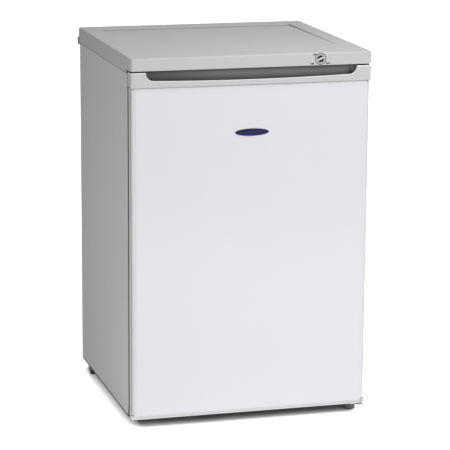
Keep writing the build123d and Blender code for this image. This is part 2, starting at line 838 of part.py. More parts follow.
# End cap along the foot of the door: a recessed band over a lip, with an ear beside the hinge
with BuildPart() as door_bottom_cap:
    with BuildSketch(Plane.XY.offset(door_bottom)) as cap_outline:
        with Locations((0, (door_front + trim_rear) / 2)):
            Rectangle(2 * half_door, trim_rear - door_front)
        fillet(cap_outline.vertices().group_by(Axis.Y)[0], cap_corner_radius)
    extrude(amount=end_cap_height)
    slab((-half_door, door_front, door_bottom + cap_lip_height),
         (half_door, door_front + cap_recess, panel_bottom), Mode.SUBTRACT)
    with BuildSketch(Plane.XY.offset(door_bottom)) as ear_outline:
        with Locations(((ear_left + half_trim) / 2, (ear_front + trim_rear) / 2)):
            Rectangle(half_trim - ear_left, trim_rear - ear_front)
        fillet(ear_outline.vertices().group_by(Axis.Y)[0].sort_by(Axis.X)[-1], ear_radius)
    extrude(amount=ear_height)
    rod((hinge_x, hinge_y, door_bottom), bush_radius + pin_clearance, ear_height, mode=Mode.SUBTRACT)
save(door_bottom_cap, "door_bottom_cap")

# Handle trim: a moulded rail whose front lip dips to a long finger pocket, open to the top
pocket_front = worktop_front + pocket_lip_wall
pocket_rear = trim_rear - pocket_rear_wall
pocket_bottom = trim_bottom + pocket_floor


def pocket_plan(inset, level):
    """The pocket seen from above, with its two rear corners well rounded."""
    with BuildSketch(Plane.XY.offset(level)) as plan:
        with Locations((0, (pocket_front + pocket_rear) / 2)):
            Rectangle(2 * (pocket_half_length - inset), pocket_rear - pocket_front - 2 * inset)
        fillet(plan.vertices().group_by(Axis.Y)[-1], pocket_corner_radius - inset)
    return plan.sketch


def lip_window(drop):
    """The opening above the lip seen from the front: a shallow arc with rounded ends."""
    arc_end = trim_bottom + lip_end_height - drop
    with BuildSketch(Plane.XZ.offset(-pocket_front)) as window:
        with BuildLine():
            ThreePointArc((-pocket_half_length, arc_end), (0, trim_bottom + lip_centre_height - drop),
                          (pocket_half_length, arc_end))
            Polyline((pocket_half_length, arc_end), (pocket_half_length, door_top),
                     (-pocket_half_length, door_top), (-pocket_half_length, arc_end))
        make_face()
        fillet(window.vertices().group_by(Axis.Y)[0], lip_end_radius)
    return window.sketch


with BuildPart() as handle_trim:
    slab((-half_trim, worktop_front, trim_bottom), (half_trim, trim_rear, door_top))
    front_uprights = handle_trim.edges().filter_by(Axis.Z).group_by(Axis.Y)[0]
    fillet(front_uprights, trim_corner_radius)
    for end_face in (0, -1):
        rim = handle_trim.faces().sort_by(Axis.Z)[end_face].edges()
        fillet(rim.sort_by(Axis.Y)[:-1], trim_edge_radius)
    for side in (-1, 1):
        reach = sorted((side * half_trim, side * (half_trim - cheek_thickness)))
        slab((reach[0], trim_rear, trim_bottom + trim_edge_radius),
             (reach[1], trim_rear + cheek_reach, door_top - trim_edge_radius))
    extrude(pocket_plan(0, pocket_bottom), amount=trim_height, mode=Mode.SUBTRACT)
    extrude(lip_window(0), amount=2 * pocket_lip_wall, mode=Mode.SUBTRACT)
    rod((hinge_x, hinge_y, door_top - bush_length), bush_radius + pin_clearance, bush_length,
        mode=Mode.SUBTRACT)
    lip_edges = handle_trim.edges().filter_by_position(
        Axis.Y, worktop_front - sheet_gap, worktop_front + sheet_gap)
    lip_floor = trim_bottom + trim_edge_radius + lip_round
    fillet(lip_edges.filter_by_position(Axis.Z, lip_floor, trim_bottom + lip_end_height), lip_round)
save(handle_trim, "handle_trim")

# Dark insert that lines the finger pocket
with BuildPart() as grip_pocket:
    extrude(pocket_plan(sheet_gap, pocket_bottom + sheet_gap),
            amount=trim_height - pocket_floor - 2 * sheet_gap)
    extrude(pocket_plan(sheet_gap + insert_wall, pocket_bottom + sheet_gap + insert_wall),
            amount=trim_height, mode=Mode.SUBTRACT)
    slab((-half_trim, worktop_front, trim_bottom + lip_centre_height - insert_lip_drop),
         (half_trim, pocket_front + sheet_gap + insert_wall, door_top), Mode.SUBTRACT)
save(grip_pocket, "grip_pocket")

# Bushes in the top and the foot of the door
with BuildPart() as door_bushes:
    rod((hinge_x, hinge_y, door_top - bush_length), bush_radius, bush_length)
    rod((hinge_x, hinge_y, door_top), bush_flange_radius, bush_flange_height)
    rod((hinge_x, hinge_y, door_top - bush_length), pin_radius + pin_clearance,
        bush_length + bush_flange_height, mode=Mode.SUBTRACT)
    rod((hinge_x, hinge_y, door_bottom), bush_radius, lower_bush_length)
    rod((hinge_x, hinge_y, door_bottom - bush_flange_height), bush_flange_radius, bush_flange_height)
    rod((hinge_x, hinge_y, door_bottom - bush_flange_height), lower_pin_radius + pin_clearance,
        lower_bush_length + bush_flange_height, mode=Mode.SUBTRACT)
save(door_bushes, "door_bushes")

# Bare badge plate on the door
with BuildPart() as badge_plate:
    with BuildSketch(Plane.XZ.offset(-door_front)):
        with Locations((0, overall_height - badge_drop)):
            SlotOverall(badge_length, badge_height)
    extrude(amount=badge_thickness)
    chamfer(badge_plate.faces().sort_by(Axis.Y)[0].edges(), badge_edge)
save(badge_plate, "badge_plate")

# Dial: a cup in the front band, the turning knob in it and the thermostat behind
with BuildPart() as dial_bezel:
    rod((dial_x, worktop_front, dial_z), bezel_radius, bezel_depth, Axis.Y)
    rod((dial_x, worktop_front, dial_z), bezel_inner, bezel_depth - bezel_floor, Axis.Y, Mode.SUBTRACT)
    rod((dial_x, worktop_front, dial_z), bezel_bore_radius, bezel_depth, Axis.Y, Mode.SUBTRACT)
save(dial_bezel, "dial_bezel")

knob_back = bezel_back - bezel_floor - knob_floor_gap
knob_front = worktop_front + knob_front_setback
collar_front = knob_back + shaft_clearance + knob_floor_gap / 2
with BuildPart() as dial_knob:
    rod((dial_x, knob_back - knob_disc_thickness, dial_z), knob_radius, knob_disc_thickness, Axis.Y)
    with BuildSketch(Plane.XZ.offset(-knob_back)) as bar_outline:
        with Locations((dial_x, dial_z)):
            Rectangle(2 * knob_radius, knob_bar_width, rotation=knob_bar_angle)
            Circle(knob_radius - knob_bar_inset, mode=Mode.INTERSECT)
    extrude(amount=knob_back - knob_front)
    chamfer(dial_knob.faces().sort_by(Axis.Y)[0].edges(), knob_edge_radius)
save(dial_knob, "dial_knob")

with BuildPart() as dial_shaft:
    rod((dial_x, knob_back, dial_z), shaft_radius, collar_length + knob_floor_gap, Axis.Y)
save(dial_shaft, "dial_shaft")

thermostat_front = bezel_back + seat_gap
with BuildPart() as thermostat:
    slab((dial_x - thermostat_width / 2, thermostat_front, dial_z - thermostat_height / 2),
         (dial_x + thermostat_width / 2, thermostat_front + thermostat_depth,
          dial_z + thermostat_height / 2))
    rod((dial_x, collar_front, dial_z), collar_radius, thermostat_front - collar_front, Axis.Y)
    rod((dial_x, collar_front, dial_z), shaft_radius + shaft_clearance,
        knob_back + collar_length + 2 * knob_floor_gap - collar_front, Axis.Y, Mode.SUBTRACT)
save(thermostat, "thermostat")

# Front levelling feet on threaded studs, and the nuts that hold them
for foot_place, name in zip(foot_places, ("front_foot_left", "front_foot_right")):
    with BuildPart() as front_foot:
        rod((*foot_place, 0), foot_radius, foot_height)
        chamfer(front_foot.edges().filter_by(GeomType.CIRCLE).sort_by(Axis.Z)[0], foot_bevel)
        with Locations((*foot_place, foot_bevel)):
            with PolarLocations(foot_radius, foot_ribs):
                Cylinder(foot_rib_radius, foot_height, align=(Align.CENTER, Align.CENTER, Align.MIN),
                         mode=Mode.SUBTRACT)
        rod((*foot_place, foot_height), stud_radius, stud_length)
    save(front_foot, name)

with BuildPart() as foot_nuts:
    for foot_place in foot_places:
        with BuildSketch(Plane.XY.offset(cabinet_bottom + sheet)):
            with Locations(foot_place):
                RegularPolygon(nut_radius, 6)
                Circle(stud_radius + stud_clearance, mode=Mode.SUBTRACT)
        extrude(amount=nut_height)
save(foot_nuts, "foot_nuts")

# Steel rail under the compressor, with folded cheeks that hold the rear rollers
rail_front = bay_front + rail_front_gap
rail_rear = cabinet_rear - rail_rear_gap
roller_inner = roller_x - roller_width / 2 - roller_side_gap
roller_outer = roller_x + roller_width / 2 + roller_side_gap
axle_length = roller_outer - roller_inner + 2 * (cheek_plate + axle_end)
with BuildPart() as compressor_rail:
    slab((-panel_half, rail_front, rail_height), (panel_half, rail_rear, rail_height + rail_thickness))
    for edge_y in (rail_front, rail_rear - rail_thickness):
        slab((-panel_half, edge_y, rail_height - rail_lip),
             (panel_half, edge_y + rail_thickness, rail_height))
    for side in (-1, 1):
        for inner_x in (roller_inner - cheek_plate, roller_outer):
            reach = sorted((side * inner_x, side * (inner_x + cheek_plate)))
            slab((reach[0], roller_y - cheek_plate_half_depth, cheek_foot),
                 (reach[1], roller_y + cheek_plate_half_depth, rail_height))
        rod((side * roller_x - axle_length / 2, roller_y, axle_z), axle_radius + roller_clearance,
            axle_length, Axis.X, Mode.SUBTRACT)
    for grommet_side in (-1, 1):
        for grommet_row in (-1, 1):
            rod((compressor_x + grommet_side * grommet_x_reach,
                 (rail_front + rail_rear) / 2 + grommet_row * grommet_y_reach, rail_height),
                bolt_radius + bolt_clearance, rail_thickness, mode=Mode.SUBTRACT)
save(compressor_rail, "compressor_rail")

for side, name in ((-1, "rear_roller_left"), (1, "rear_roller_right")):
    with BuildPart() as rear_roller:
        rod((side * roller_x - roller_width / 2, roller_y, axle_z), roller_radius, roller_width, Axis.X)
        chamfer(rear_roller.edges().filter_by(GeomType.CIRCLE), roller_edge)
        rod((side * roller_x - roller_width / 2, roller_y, axle_z), axle_radius + roller_clearance,
            roller_width, Axis.X, Mode.SUBTRACT)
    save(rear_roller, name)

with BuildPart() as roller_axles:
    for side in (-1, 1):
        rod((side * roller_x - axle_length / 2, roller_y, axle_z), axle_radius, axle_length, Axis.X)
save(roller_axles, "roller_axles")

# Compressor on rubber grommets, with its bolts and the cover over its terminals
compressor_y = (rail_front + rail_rear) / 2
grommet_seat = rail_height + rail_thickness
compressor_foot = grommet_seat + grommet_height
shell_bottom = compressor_foot + compressor_plate_thickness / 2
seam_z = shell_bottom + compressor_height / 2
grommet_places = [
    (compressor_x + column * grommet_x_reach, compressor_y + row * grommet_y_reach)
    for column in (-1, 1)
    for row in (-1, 1)
]
with BuildPart() as compressor:
    rod((compressor_x, compressor_y, shell_bottom), compressor_radius, compressor_height)
    fillet(compressor.edges().sort_by(Axis.Z)[-1], compressor_dome_radius)
    fillet(compressor.edges().sort_by(Axis.Z)[0], compressor_base_radius)
    rod((compressor_x, compressor_y, seam_z), compressor_seam_radius, compressor_seam_height)
    slab((compressor_x - compressor_plate_half_length, compressor_y - compressor_plate_half_depth,
          compressor_foot),
         (compressor_x + compressor_plate_half_length, compressor_y + compressor_plate_half_depth,
          compressor_foot + compressor_plate_thickness))
    for bolt_x, bolt_y in grommet_places:
        rod((bolt_x, bolt_y, compressor_foot), bolt_radius + bolt_clearance, compressor_plate_thickness,
            mode=Mode.SUBTRACT)
save(compressor, "compressor")

with BuildPart() as compressor_grommets:
    for bolt_x, bolt_y in grommet_places:
        rod((bolt_x, bolt_y, grommet_seat), grommet_radius, grommet_height)
        rod((bolt_x, bolt_y, grommet_seat), bolt_radius + bolt_clearance, grommet_height, mode=Mode.SUBTRACT)
save(compressor_grommets, "compressor_grommets")

with BuildPart() as compressor_bolts:
    for bolt_x, bolt_y in grommet_places:
        bolt_top = compressor_foot + compressor_plate_thickness
        rod((bolt_x, bolt_y, rail_height), bolt_radius, bolt_top - rail_height)
        rod((bolt_x, bolt_y, bolt_top), bolt_head_radius, bolt_head_height)
save(compressor_bolts, "compressor_bolts")

relay_left = compressor_x - compressor_seam_radius - relay_width
with BuildPart() as relay_cover:
    slab((relay_left, compressor_y - relay_depth / 2, seam_z - relay_height / 2),
         (compressor_x, compressor_y + relay_depth / 2, seam_z + relay_height / 2))
    fillet(relay_cover.edges().filter_by(Axis.Y).sort_by(Axis.X)[:2], relay_corner_radius)
    rod((compressor_x, compressor_y, seam_z - relay_height), compressor_seam_radius + seat_gap,
        2 * relay_height, mode=Mode.SUBTRACT)
save(relay_cover, "relay_cover")

# Mains inlet: a small plate in the bay with the gland that the lead would leave through
gland_plate_y = cabinet_rear - rail_rear_gap - gland_plate_thickness
with BuildPart() as mains_gland:
    slab((gland_x - gland_plate_width / 2, gland_plate_y, rail_height + rail_thickness),
         (gland_x + gland_plate_width / 2, gland_plate_y + gland_plate_thickness,
          rail_height + rail_thickness + gland_plate_height))
    rod((gland_x, gland_plate_y, gland_height - gland_plate_thickness), gland_radius, gland_length, Axis.Y)
    chamfer(mains_gland.edges().filter_by(GeomType.CIRCLE).sort_by(Axis.Y)[-1], gland_plate_thickness)
save(mains_gland, "mains_gland")

# Copper drier on the wall of the bay
drier_y = bay_front + drier_radius + seat_gap
with BuildPart() as filter_drier:
    rod((drier_x, drier_y, drier_height - drier_length / 2), drier_radius, drier_length)
    chamfer(filter_drier.edges().filter_by(GeomType.CIRCLE), drier_radius / 2)
    for neck_z in (drier_height - drier_length / 2 - drier_neck, drier_height + drier_length / 2):
        rod((drier_x, drier_y, neck_z), hot_pipe_radius, drier_neck)
save(filter_drier, "filter_drier")


def pipe(points, bend, radius):
    """A tube through the points, with the same bend at each corner."""
    with BuildPart() as tube:
        with BuildLine() as route:
            FilletPolyline(*points, radius=bend)
        with BuildSketch(Plane(origin=route.line @ 0, z_dir=route.line % 0)):
            Circle(radius)
        sweep(path=route.line)
    return tube.part


def serpentine(first, across, along, half_length, pitch, passes, radius):
    """A tube that runs to and fro: straight passes joined by half turns, from a first pass."""
    across, along, first = Vector(*across), Vector(*along), Vector(*first)
    with BuildPart() as coil:
        with BuildLine() as route:
            for index in range(passes):
                side = 1 if index % 2 else -1
                level = first + along * (index * pitch)
                Line(level + across * (side * half_length), level - across * (side * half_length))
                if index < passes - 1:
                    turn = level - across * (side * half_length)
                    ThreePointArc(turn, turn + along * (pitch / 2) - across * (side * pitch / 2),
                                  turn + along * pitch)
        start = first - across * half_length
        with BuildSketch(Plane(origin=start, z_dir=across)):
            Circle(radius)
        sweep(path=route.line)
    return coil.part


# Evaporator shelves: a tube that winds from back to front over a row of wires that lie on the ledges
shelf_coil = serpentine((-shelf_side_x, shelf_centre_y, 0), (0, -1, 0), (1, 0, 0), shelf_half_length,
                        shelf_pitch, shelf_passes, shelf_tube_radius)
wire_half = half_cavity - shelf_wire_side_gap
for level, shelf_height in shelf_heights.items():
    with BuildPart() as evaporator_shelf:
        with Locations((0, 0, shelf_height)):
            add(shelf_coil)
        for index in range(shelf_wires):
            wire_y = shelf_centre_y + (index - (shelf_wires - 1) / 2) * shelf_wire_spacing
            rod((-wire_half, wire_y, shelf_height - wire_drop + shelf_wire_radius), shelf_wire_radius,
                2 * wire_half, Axis.X)
    save(evaporator_shelf, f"evaporator_{level}")

# Risers behind the drawers that join the three shelves in one run
riser_y = cavity_rear - riser_gap
with BuildPart() as evaporator_risers:
    for side, low, high in ((1, "lower", "middle"), (-1, "middle", "upper")):
        riser_x = side * shelf_side_x
        add(pipe(
            [
                (riser_x, shelf_end_y, shelf_heights[low]),
                (riser_x, riser_y, shelf_heights[low]),
                (riser_x, riser_y, shelf_heights[high]),
                (riser_x, shelf_end_y, shelf_heights[high]),
            ],
            riser_bend,
            shelf_tube_radius,
        ))
save(evaporator_risers, "evaporator_risers")

# Suction pipe from the lowest shelf through the back wall and down into the compressor
condenser_y = cabinet_rear + condenser_wall_gap
pipe_y = compressor_y + pipe_side_y
pipe_end_z = seam_z + compressor_height * pipe_end_share
suction_z = bay_top - suction_drop
with BuildPart() as suction_pipe:
    add(pipe(
        [
            (-shelf_side_x, shelf_end_y, shelf_heights["lower"]),
            (-shelf_side_x, condenser_y, shelf_heights["lower"]),
            (-shelf_side_x, condenser_y, suction_z),
            (suction_x, condenser_y, suction_z),
            (suction_x, pipe_y, suction_z),
            (suction_x, pipe_y, pipe_end_z),
        ],
        riser_bend,
        shelf_tube_radius,
    ))
save(suction_pipe, "suction_pipe")

# Hot pipe from the compressor up to the condenser, and the pipe from its foot to the drier
condenser_top = condenser_bottom + (condenser_passes - 1) * condenser_pitch
hot_pipe_z = bay_top - hot_pipe_drop
outlet_z = drier_height + drier_length / 2 + drier_neck + outlet_drop
with BuildPart() as condenser_pipes:
    add(pipe(
        [
            (hot_pipe_x, pipe_y, pipe_end_z),
            (hot_pipe_x, pipe_y, hot_pipe_z),
            (hot_pipe_riser_x, pipe_y, hot_pipe_z),
            (hot_pipe_riser_x, condenser_y, hot_pipe_z),
            (hot_pipe_riser_x, condenser_y, condenser_top),
            (condenser_half_length, condenser_y, condenser_top),
        ],
        hot_pipe_bend,
        hot_pipe_radius,
    ))
    add(pipe(
        [
            (condenser_half_length, condenser_y, condenser_bottom),
            (drier_x, condenser_y, condenser_bottom),
            (drier_x, condenser_y, outlet_z),
            (drier_x, drier_y, outlet_z),
            (drier_x, drier_y, outlet_z - outlet_drop),
        ],
        hot_pipe_bend,
        hot_pipe_radius,
    ))
save(condenser_pipes, "condenser_pipes")

# Capillary from the foot of the drier up behind the back panel to the highest shelf
capillary_y = cabinet_rear + capillary_lane_gap
capillary_start_z = drier_height - drier_length / 2 - drier_neck
with BuildPart() as capillary_tube:
    add(pipe(
        [
            (drier_x, drier_y, capillary_start_z),
            (drier_x, drier_y, capillary_start_z - capillary_drop),
            (shelf_side_x, drier_y, capillary_start_z - capillary_drop),
            (shelf_side_x, capillary_y, capillary_start_z - capillary_drop),
            (shelf_side_x, capillary_y, shelf_heights["upper"]),
            (shelf_side_x, shelf_end_y, shelf_heights["upper"]),
        ],
        capillary_bend,
        capillary_radius,
    ))
save(capillary_tube, "capillary_tube")

# Drawers: a moulded tub behind a thick front plate with a finger slot
drawer_floors = {
    "lower": cavity_bottom + drawer_lift,
    "middle": lower_shelf_height + shelf_tube_radius + drawer_lift,
    "upper": middle_shelf_height + shelf_tube_radius + drawer_lift,
}
drawer_ceilings = {
    "lower": lower_shelf_height - wire_drop,
    "middle": middle_shelf_height - wire_drop,
    "upper": upper_shelf_height - wire_drop,
}
tub_front = drawer_front_y + front_plate_thickness + front_seat_gap
drawer_rears = {
    "lower": hump_front - lower_drawer_rear_gap,
    "middle": tub_front + drawer_depth,
    "upper": tub_front + drawer_depth,
}
for level, floor_z in drawer_floors.items():
    top_z = drawer_ceilings[level] - drawer_head_gap
    rear_y = drawer_rears[level]
    half_plate = drawer_half_width + front_plate_overhang
    with BuildSketch(Plane.XZ.offset(-drawer_front_y)) as finger_slot:
        with Locations((0, top_z - grip_drop - grip_height / 2)):
            SlotOverall(grip_length, grip_height)
    slot_depth = tub_front + 2 * drawer_wall - drawer_front_y
    with BuildPart() as drawer_tub:
        slab((-drawer_half_width, tub_front, floor_z), (drawer_half_width, rear_y, top_z))
        fillet(drawer_tub.edges().filter_by(Axis.Z), drawer_corner_radius)
        fillet(drawer_tub.faces().sort_by(Axis.Z)[0].edges(), drawer_bottom_radius)
        offset(amount=-drawer_wall, openings=drawer_tub.faces().sort_by(Axis.Z)[-1])
        with BuildSketch(Plane.XY.offset(top_z - drawer_rim_thickness)):
            with Locations((0, (tub_front + rear_y) / 2)):
                RectangleRounded(2 * (drawer_half_width + drawer_rim), rear_y - tub_front,
                                 drawer_corner_radius)
                RectangleRounded(2 * (drawer_half_width - drawer_wall), rear_y - tub_front - 2 * drawer_wall,
                                 drawer_corner_radius - drawer_wall, mode=Mode.SUBTRACT)
        extrude(amount=drawer_rim_thickness)
        extrude(finger_slot.sketch, amount=-slot_depth, mode=Mode.SUBTRACT)
    save(drawer_tub, f"drawer_tub_{level}")
    with BuildPart() as drawer_front:
        slab((-half_plate, drawer_front_y, floor_z),
             (half_plate, drawer_front_y + front_plate_thickness, top_z))
        fillet(drawer_front.edges().filter_by(Axis.Y), front_plate_radius)
        extrude(finger_slot.sketch, amount=-slot_depth, mode=Mode.SUBTRACT)
    save(drawer_front, f"drawer_front_{level}")

# Condenser behind the back panel: a tube that winds up the back under a row of upright wires
condenser_span = (condenser_passes - 1) * condenser_pitch
condenser_coil = serpentine((0, condenser_y, condenser_bottom), (-1, 0, 0), (0, 0, 1), condenser_half_length,
                            condenser_pitch, condenser_passes, condenser_tube_radius)
with BuildPart() as condenser:
    add(condenser_coil)
    for index in range(condenser_wires):
        wire_x = (index - (condenser_wires - 1) / 2) * condenser_wire_spacing
        rod((wire_x, condenser_y + condenser_tube_radius + condenser_wire_radius - condenser_weld,
             condenser_bottom - condenser_tube_radius),
            condenser_wire_radius, condenser_span + 2 * condenser_tube_radius)
save(condenser, "condenser")

# Clips that stand the condenser off the back panel
clip_rows = [condenser_bottom + condenser_pitch, condenser_bottom + condenser_span - condenser_pitch]
with BuildPart() as condenser_clips:
    for side in (-1, 1):
        for row_z in clip_rows:
            clip_centre = side * clip_x
            slab((clip_centre - clip_width / 2, back_panel_front + sheet, row_z - clip_height / 2),
                 (clip_centre + clip_width / 2, condenser_y, row_z + clip_height / 2))
            rod((clip_centre - clip_width, condenser_y, row_z), condenser_tube_radius + seat_gap,
                2 * clip_width, Axis.X, Mode.SUBTRACT)
save(condenser_clips, "condenser_clips")
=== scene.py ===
"""Looks of the undercounter freezer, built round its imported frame. Places and sizes are in metres."""

import json
import math

import bmesh
import bpy
from mathutils import Matrix, Vector


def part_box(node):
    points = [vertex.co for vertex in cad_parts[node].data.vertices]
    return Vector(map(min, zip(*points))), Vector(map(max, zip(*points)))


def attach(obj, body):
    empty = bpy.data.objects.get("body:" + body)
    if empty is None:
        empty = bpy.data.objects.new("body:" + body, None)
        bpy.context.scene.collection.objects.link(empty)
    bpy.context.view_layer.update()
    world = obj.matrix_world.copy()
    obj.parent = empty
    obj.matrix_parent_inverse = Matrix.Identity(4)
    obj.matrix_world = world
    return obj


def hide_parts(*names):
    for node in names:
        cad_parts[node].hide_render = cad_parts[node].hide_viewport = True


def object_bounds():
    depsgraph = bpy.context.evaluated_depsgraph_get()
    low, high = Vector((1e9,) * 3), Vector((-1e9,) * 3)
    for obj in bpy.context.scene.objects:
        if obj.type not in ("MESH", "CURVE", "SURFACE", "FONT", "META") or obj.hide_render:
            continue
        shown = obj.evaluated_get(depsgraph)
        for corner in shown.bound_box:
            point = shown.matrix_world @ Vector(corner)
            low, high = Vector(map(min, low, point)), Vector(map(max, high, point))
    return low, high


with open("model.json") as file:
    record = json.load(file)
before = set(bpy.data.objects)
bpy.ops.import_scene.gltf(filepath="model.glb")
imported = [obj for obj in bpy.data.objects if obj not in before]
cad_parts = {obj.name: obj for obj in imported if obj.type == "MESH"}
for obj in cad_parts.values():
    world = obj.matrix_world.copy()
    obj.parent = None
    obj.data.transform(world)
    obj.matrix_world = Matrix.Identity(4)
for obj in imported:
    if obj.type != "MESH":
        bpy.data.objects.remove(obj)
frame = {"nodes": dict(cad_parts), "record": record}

cad_low, cad_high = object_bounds()
nodes = frame["nodes"]
mm = 0.001

# Camera, found from the photograph's edges, with its sensor in millimetres
camera_place = Vector((-1.355, -4.9325, 1.540))
camera_turn = math.radians(15.56)
camera_drop = math.radians(12.55)
camera_roll = math.radians(0.34)
camera_near = 0.1
camera_far = 100.0
focal_pixels = 2224.3
picture_pixels = 450
sensor_width = 36.0

# Sky, as the share of white that it gives to a white surface, overhead and at the horizon
sky_zenith = 0.27
sky_horizon = 0.27

# Floor: its reach, the light it throws back near the object and far from it, and how bright it shows
floor_reach = 60.0
floor_near = 0.10
floor_far = 0.80
floor_bounce_near = 0.92
floor_bounce_far = 0.48
floor_mirrored = 1.15
floor_shadow_tone = 0.30
floor_white = 5.0

# Painted shadow on the floor under the object, laid over its real shadow: where it is full, and how far it
# fades beyond
shadow_middle = 11 * mm
shadow_half_width = cad_high.x - 25.5 * mm
shadow_front = cad_low.y + 87 * mm
shadow_rear = cad_high.y - 39 * mm
shadow_side_fade = 40 * mm
shadow_front_fade = 85 * mm
shadow_front_curve = 2.0

# Lamps: size is width and height, and level is the share of white that each gives where it aims
lamps = {
    "key": dict(place=(2.20, -3.30, 2.30), aim=(0.0, -0.28, 0.60), size=(1.5, 1.5), level=0.555),
    "overhead": dict(place=(0.20, -0.62, 1.65), aim=(0.05, -0.22, 0.845), size=(0.7, 0.5), level=0.46),
    "door_fill": dict(place=(0.25, -1.10, 0.10), aim=(0.05, -0.28, 0.08), size=(1.0, 0.3), level=0.18),
    "side_fill": dict(place=(-1.55, -1.00, 0.38), aim=(-0.27, -0.15, 0.28), size=(0.8, 0.6), level=0.29),
}

# Knob: a rim, a sunk floor and a bar across
knob_rim = 1.9 * mm
knob_rounding = 0.5 * mm
knob_rounding_middle = 0.3
knob_floor_depth = 4.2 * mm
knob_floor_thickness = 0.4 * mm
knob_floor_gap = 0.05 * mm
knob_bar_width = 4.0 * mm
knob_bar_angle = math.radians(24)
knob_bar_reach = 0.3 * mm
knob_bar_lift = 0.2 * mm
knob_bar_rounding = 0.7 * mm

# Painted shade line round the dial, at the outer edge of its bezel
dial_shade_width = 1.2 * mm
dial_shade_inset = 0.5 * mm
dial_shade_blur = 0.1
dial_shade_colour = (0.03, 0.03, 0.03)

# Words round the dial, each with how far its middle lies right of the knob's middle and above it
word_height = 3.0 * mm
word_boldness = 0.36 * mm
word_thickness = 0.03 * mm
capital_share = 0.7
words = {
    "OFF": (-13.4 * mm, 10.0 * mm),
    "MIN": (-18.8 * mm, -10.4 * mm),
    "MAX": (17.4 * mm, -10.2 * mm),
}

# Badge: a rim with a sunk seat for its field
badge_rim = 1.0 * mm
badge_sink = 0.25 * mm
badge_rim_bevel = 0.3 * mm
badge_field_bevel = 0.05 * mm
badge_field_dome = 0.1 * mm
oval_steps = 96
oval_rings = (0.75, 0.5, 0.25, 0.0)
oval_border = 0.8

# Seal: half of its section, as offsets in millimetres and shares of the depth between door and casing
seal_section = [
    (5.6, 0.0), (6.0, 0.04), (6.0, 0.14), (4.6, 0.20), (3.0, 0.23), (2.6, 0.27), (3.2, 0.31),
    (5.4, 0.36), (5.9, 0.40), (5.4, 0.44), (3.4, 0.49), (3.0, 0.53), (3.6, 0.57), (6.2, 0.62),
    (6.9, 0.68), (7.0, 0.76), (6.8, 0.92), (6.2, 0.99), (5.0, 1.0),
]
seal_half_width = 7.0 * mm
seal_corner = 10.0 * mm
seal_corner_steps = 8

# Screw heads: half of their section and their cross recess, as shares of the radius and the height
head_section = [(0.0, 0.0), (1.0, 0.0), (1.0, 0.35), (0.94, 0.62), (0.78, 0.84), (0.5, 0.97), (0.0, 1.0)]
head_height = 2.2 * mm
head_steps = 40
recess_arm = 0.55
recess_width = 0.26
recess_depth = 0.55
recess_top = 1.5
shank_radius = 1.9 * mm
shank_steps = 24

# Meshes
sharp_angle = math.radians(35)
round_steps = 64
bevel_steps = 3
bevel_roundness = 0.5
weld_distance = 0.001 * mm

# Painted shade in crevices and in gaps between pieces: how far off a neighbour shades them, and the
# openness where the painted shade is full and where it ends
wide_crevice_shade = (45 * mm, 0.55, 0.88)
tight_crevice_shade = (8 * mm, 0.30, 0.75)
trim_crevice_shade = (12 * mm, 0.40, 0.80)
pocket_crevice_shade = (22 * mm, 0.25, 0.95)
door_gap_crevice_shade = (60 * mm, 0.72, 0.99)
door_gap_depth = 4 * mm
crevice_shade_colour = (0.018, 0.018, 0.018)
crevice_samples = 8

# Edges: how far the surface has to turn before it counts as one, and as a full one
edge_faint = 0.02
edge_full = 0.25
edge_samples = 6

# Range that most of a noise lies in
noise_low = 0.3
noise_high = 0.7

# Blur of the painted lines
line_blur = 0.3 * mm

# Painted shade on the folded sides of the door: where it runs behind the face, and how far in from the
# sides it fades
fold_start = 5.0 * mm
fold_end = 8.2 * mm
fold_blur = 0.2 * mm
fold_side_faint = 3 * mm
fold_side_full = 2 * mm
fold_shade_colour = (0.30, 0.30, 0.31)

# Painted shade line on the ends of the grip rail, where they come close to the casing
cheek_shade_width = 4.4 * mm
cheek_side_faint = 1 * mm
cheek_side_full = 0.5 * mm
cheek_foot_fade = 1 * mm
cheek_shade_colour = (0.04, 0.04, 0.04)

# Painted highlight on the roundings of the grip rail: how far up they face
lip_low = 0.25
lip_high = 0.85
lip_blur = 0.1
lip_highlight_colour = (0.90, 0.90, 0.90)

# Paler tone of the cap at the foot of the door
cap_paleness = 0.42
cap_colour = (0.90, 0.90, 0.905)

# Shade in the left end of the pocket behind the grip rail, measured from that end
pocket_shade_start = 41 * mm
pocket_shade_end = 191 * mm
pocket_shade_depth = 0.40

# Painted shade line under the worktop's skirt, on the sides of the casing: where these begin, as shares of
# half the width
skirt_line_height = 2.8 * mm
skirt_side_faint = 0.90
skirt_side_full = 0.95
skirt_shade_colour = (0.17, 0.165, 0.16)

# Painted shade: a dark line along the foot of the painted sheets
foot_shade_height = 3.6 * mm
foot_shade_colour = (0.045, 0.045, 0.045)


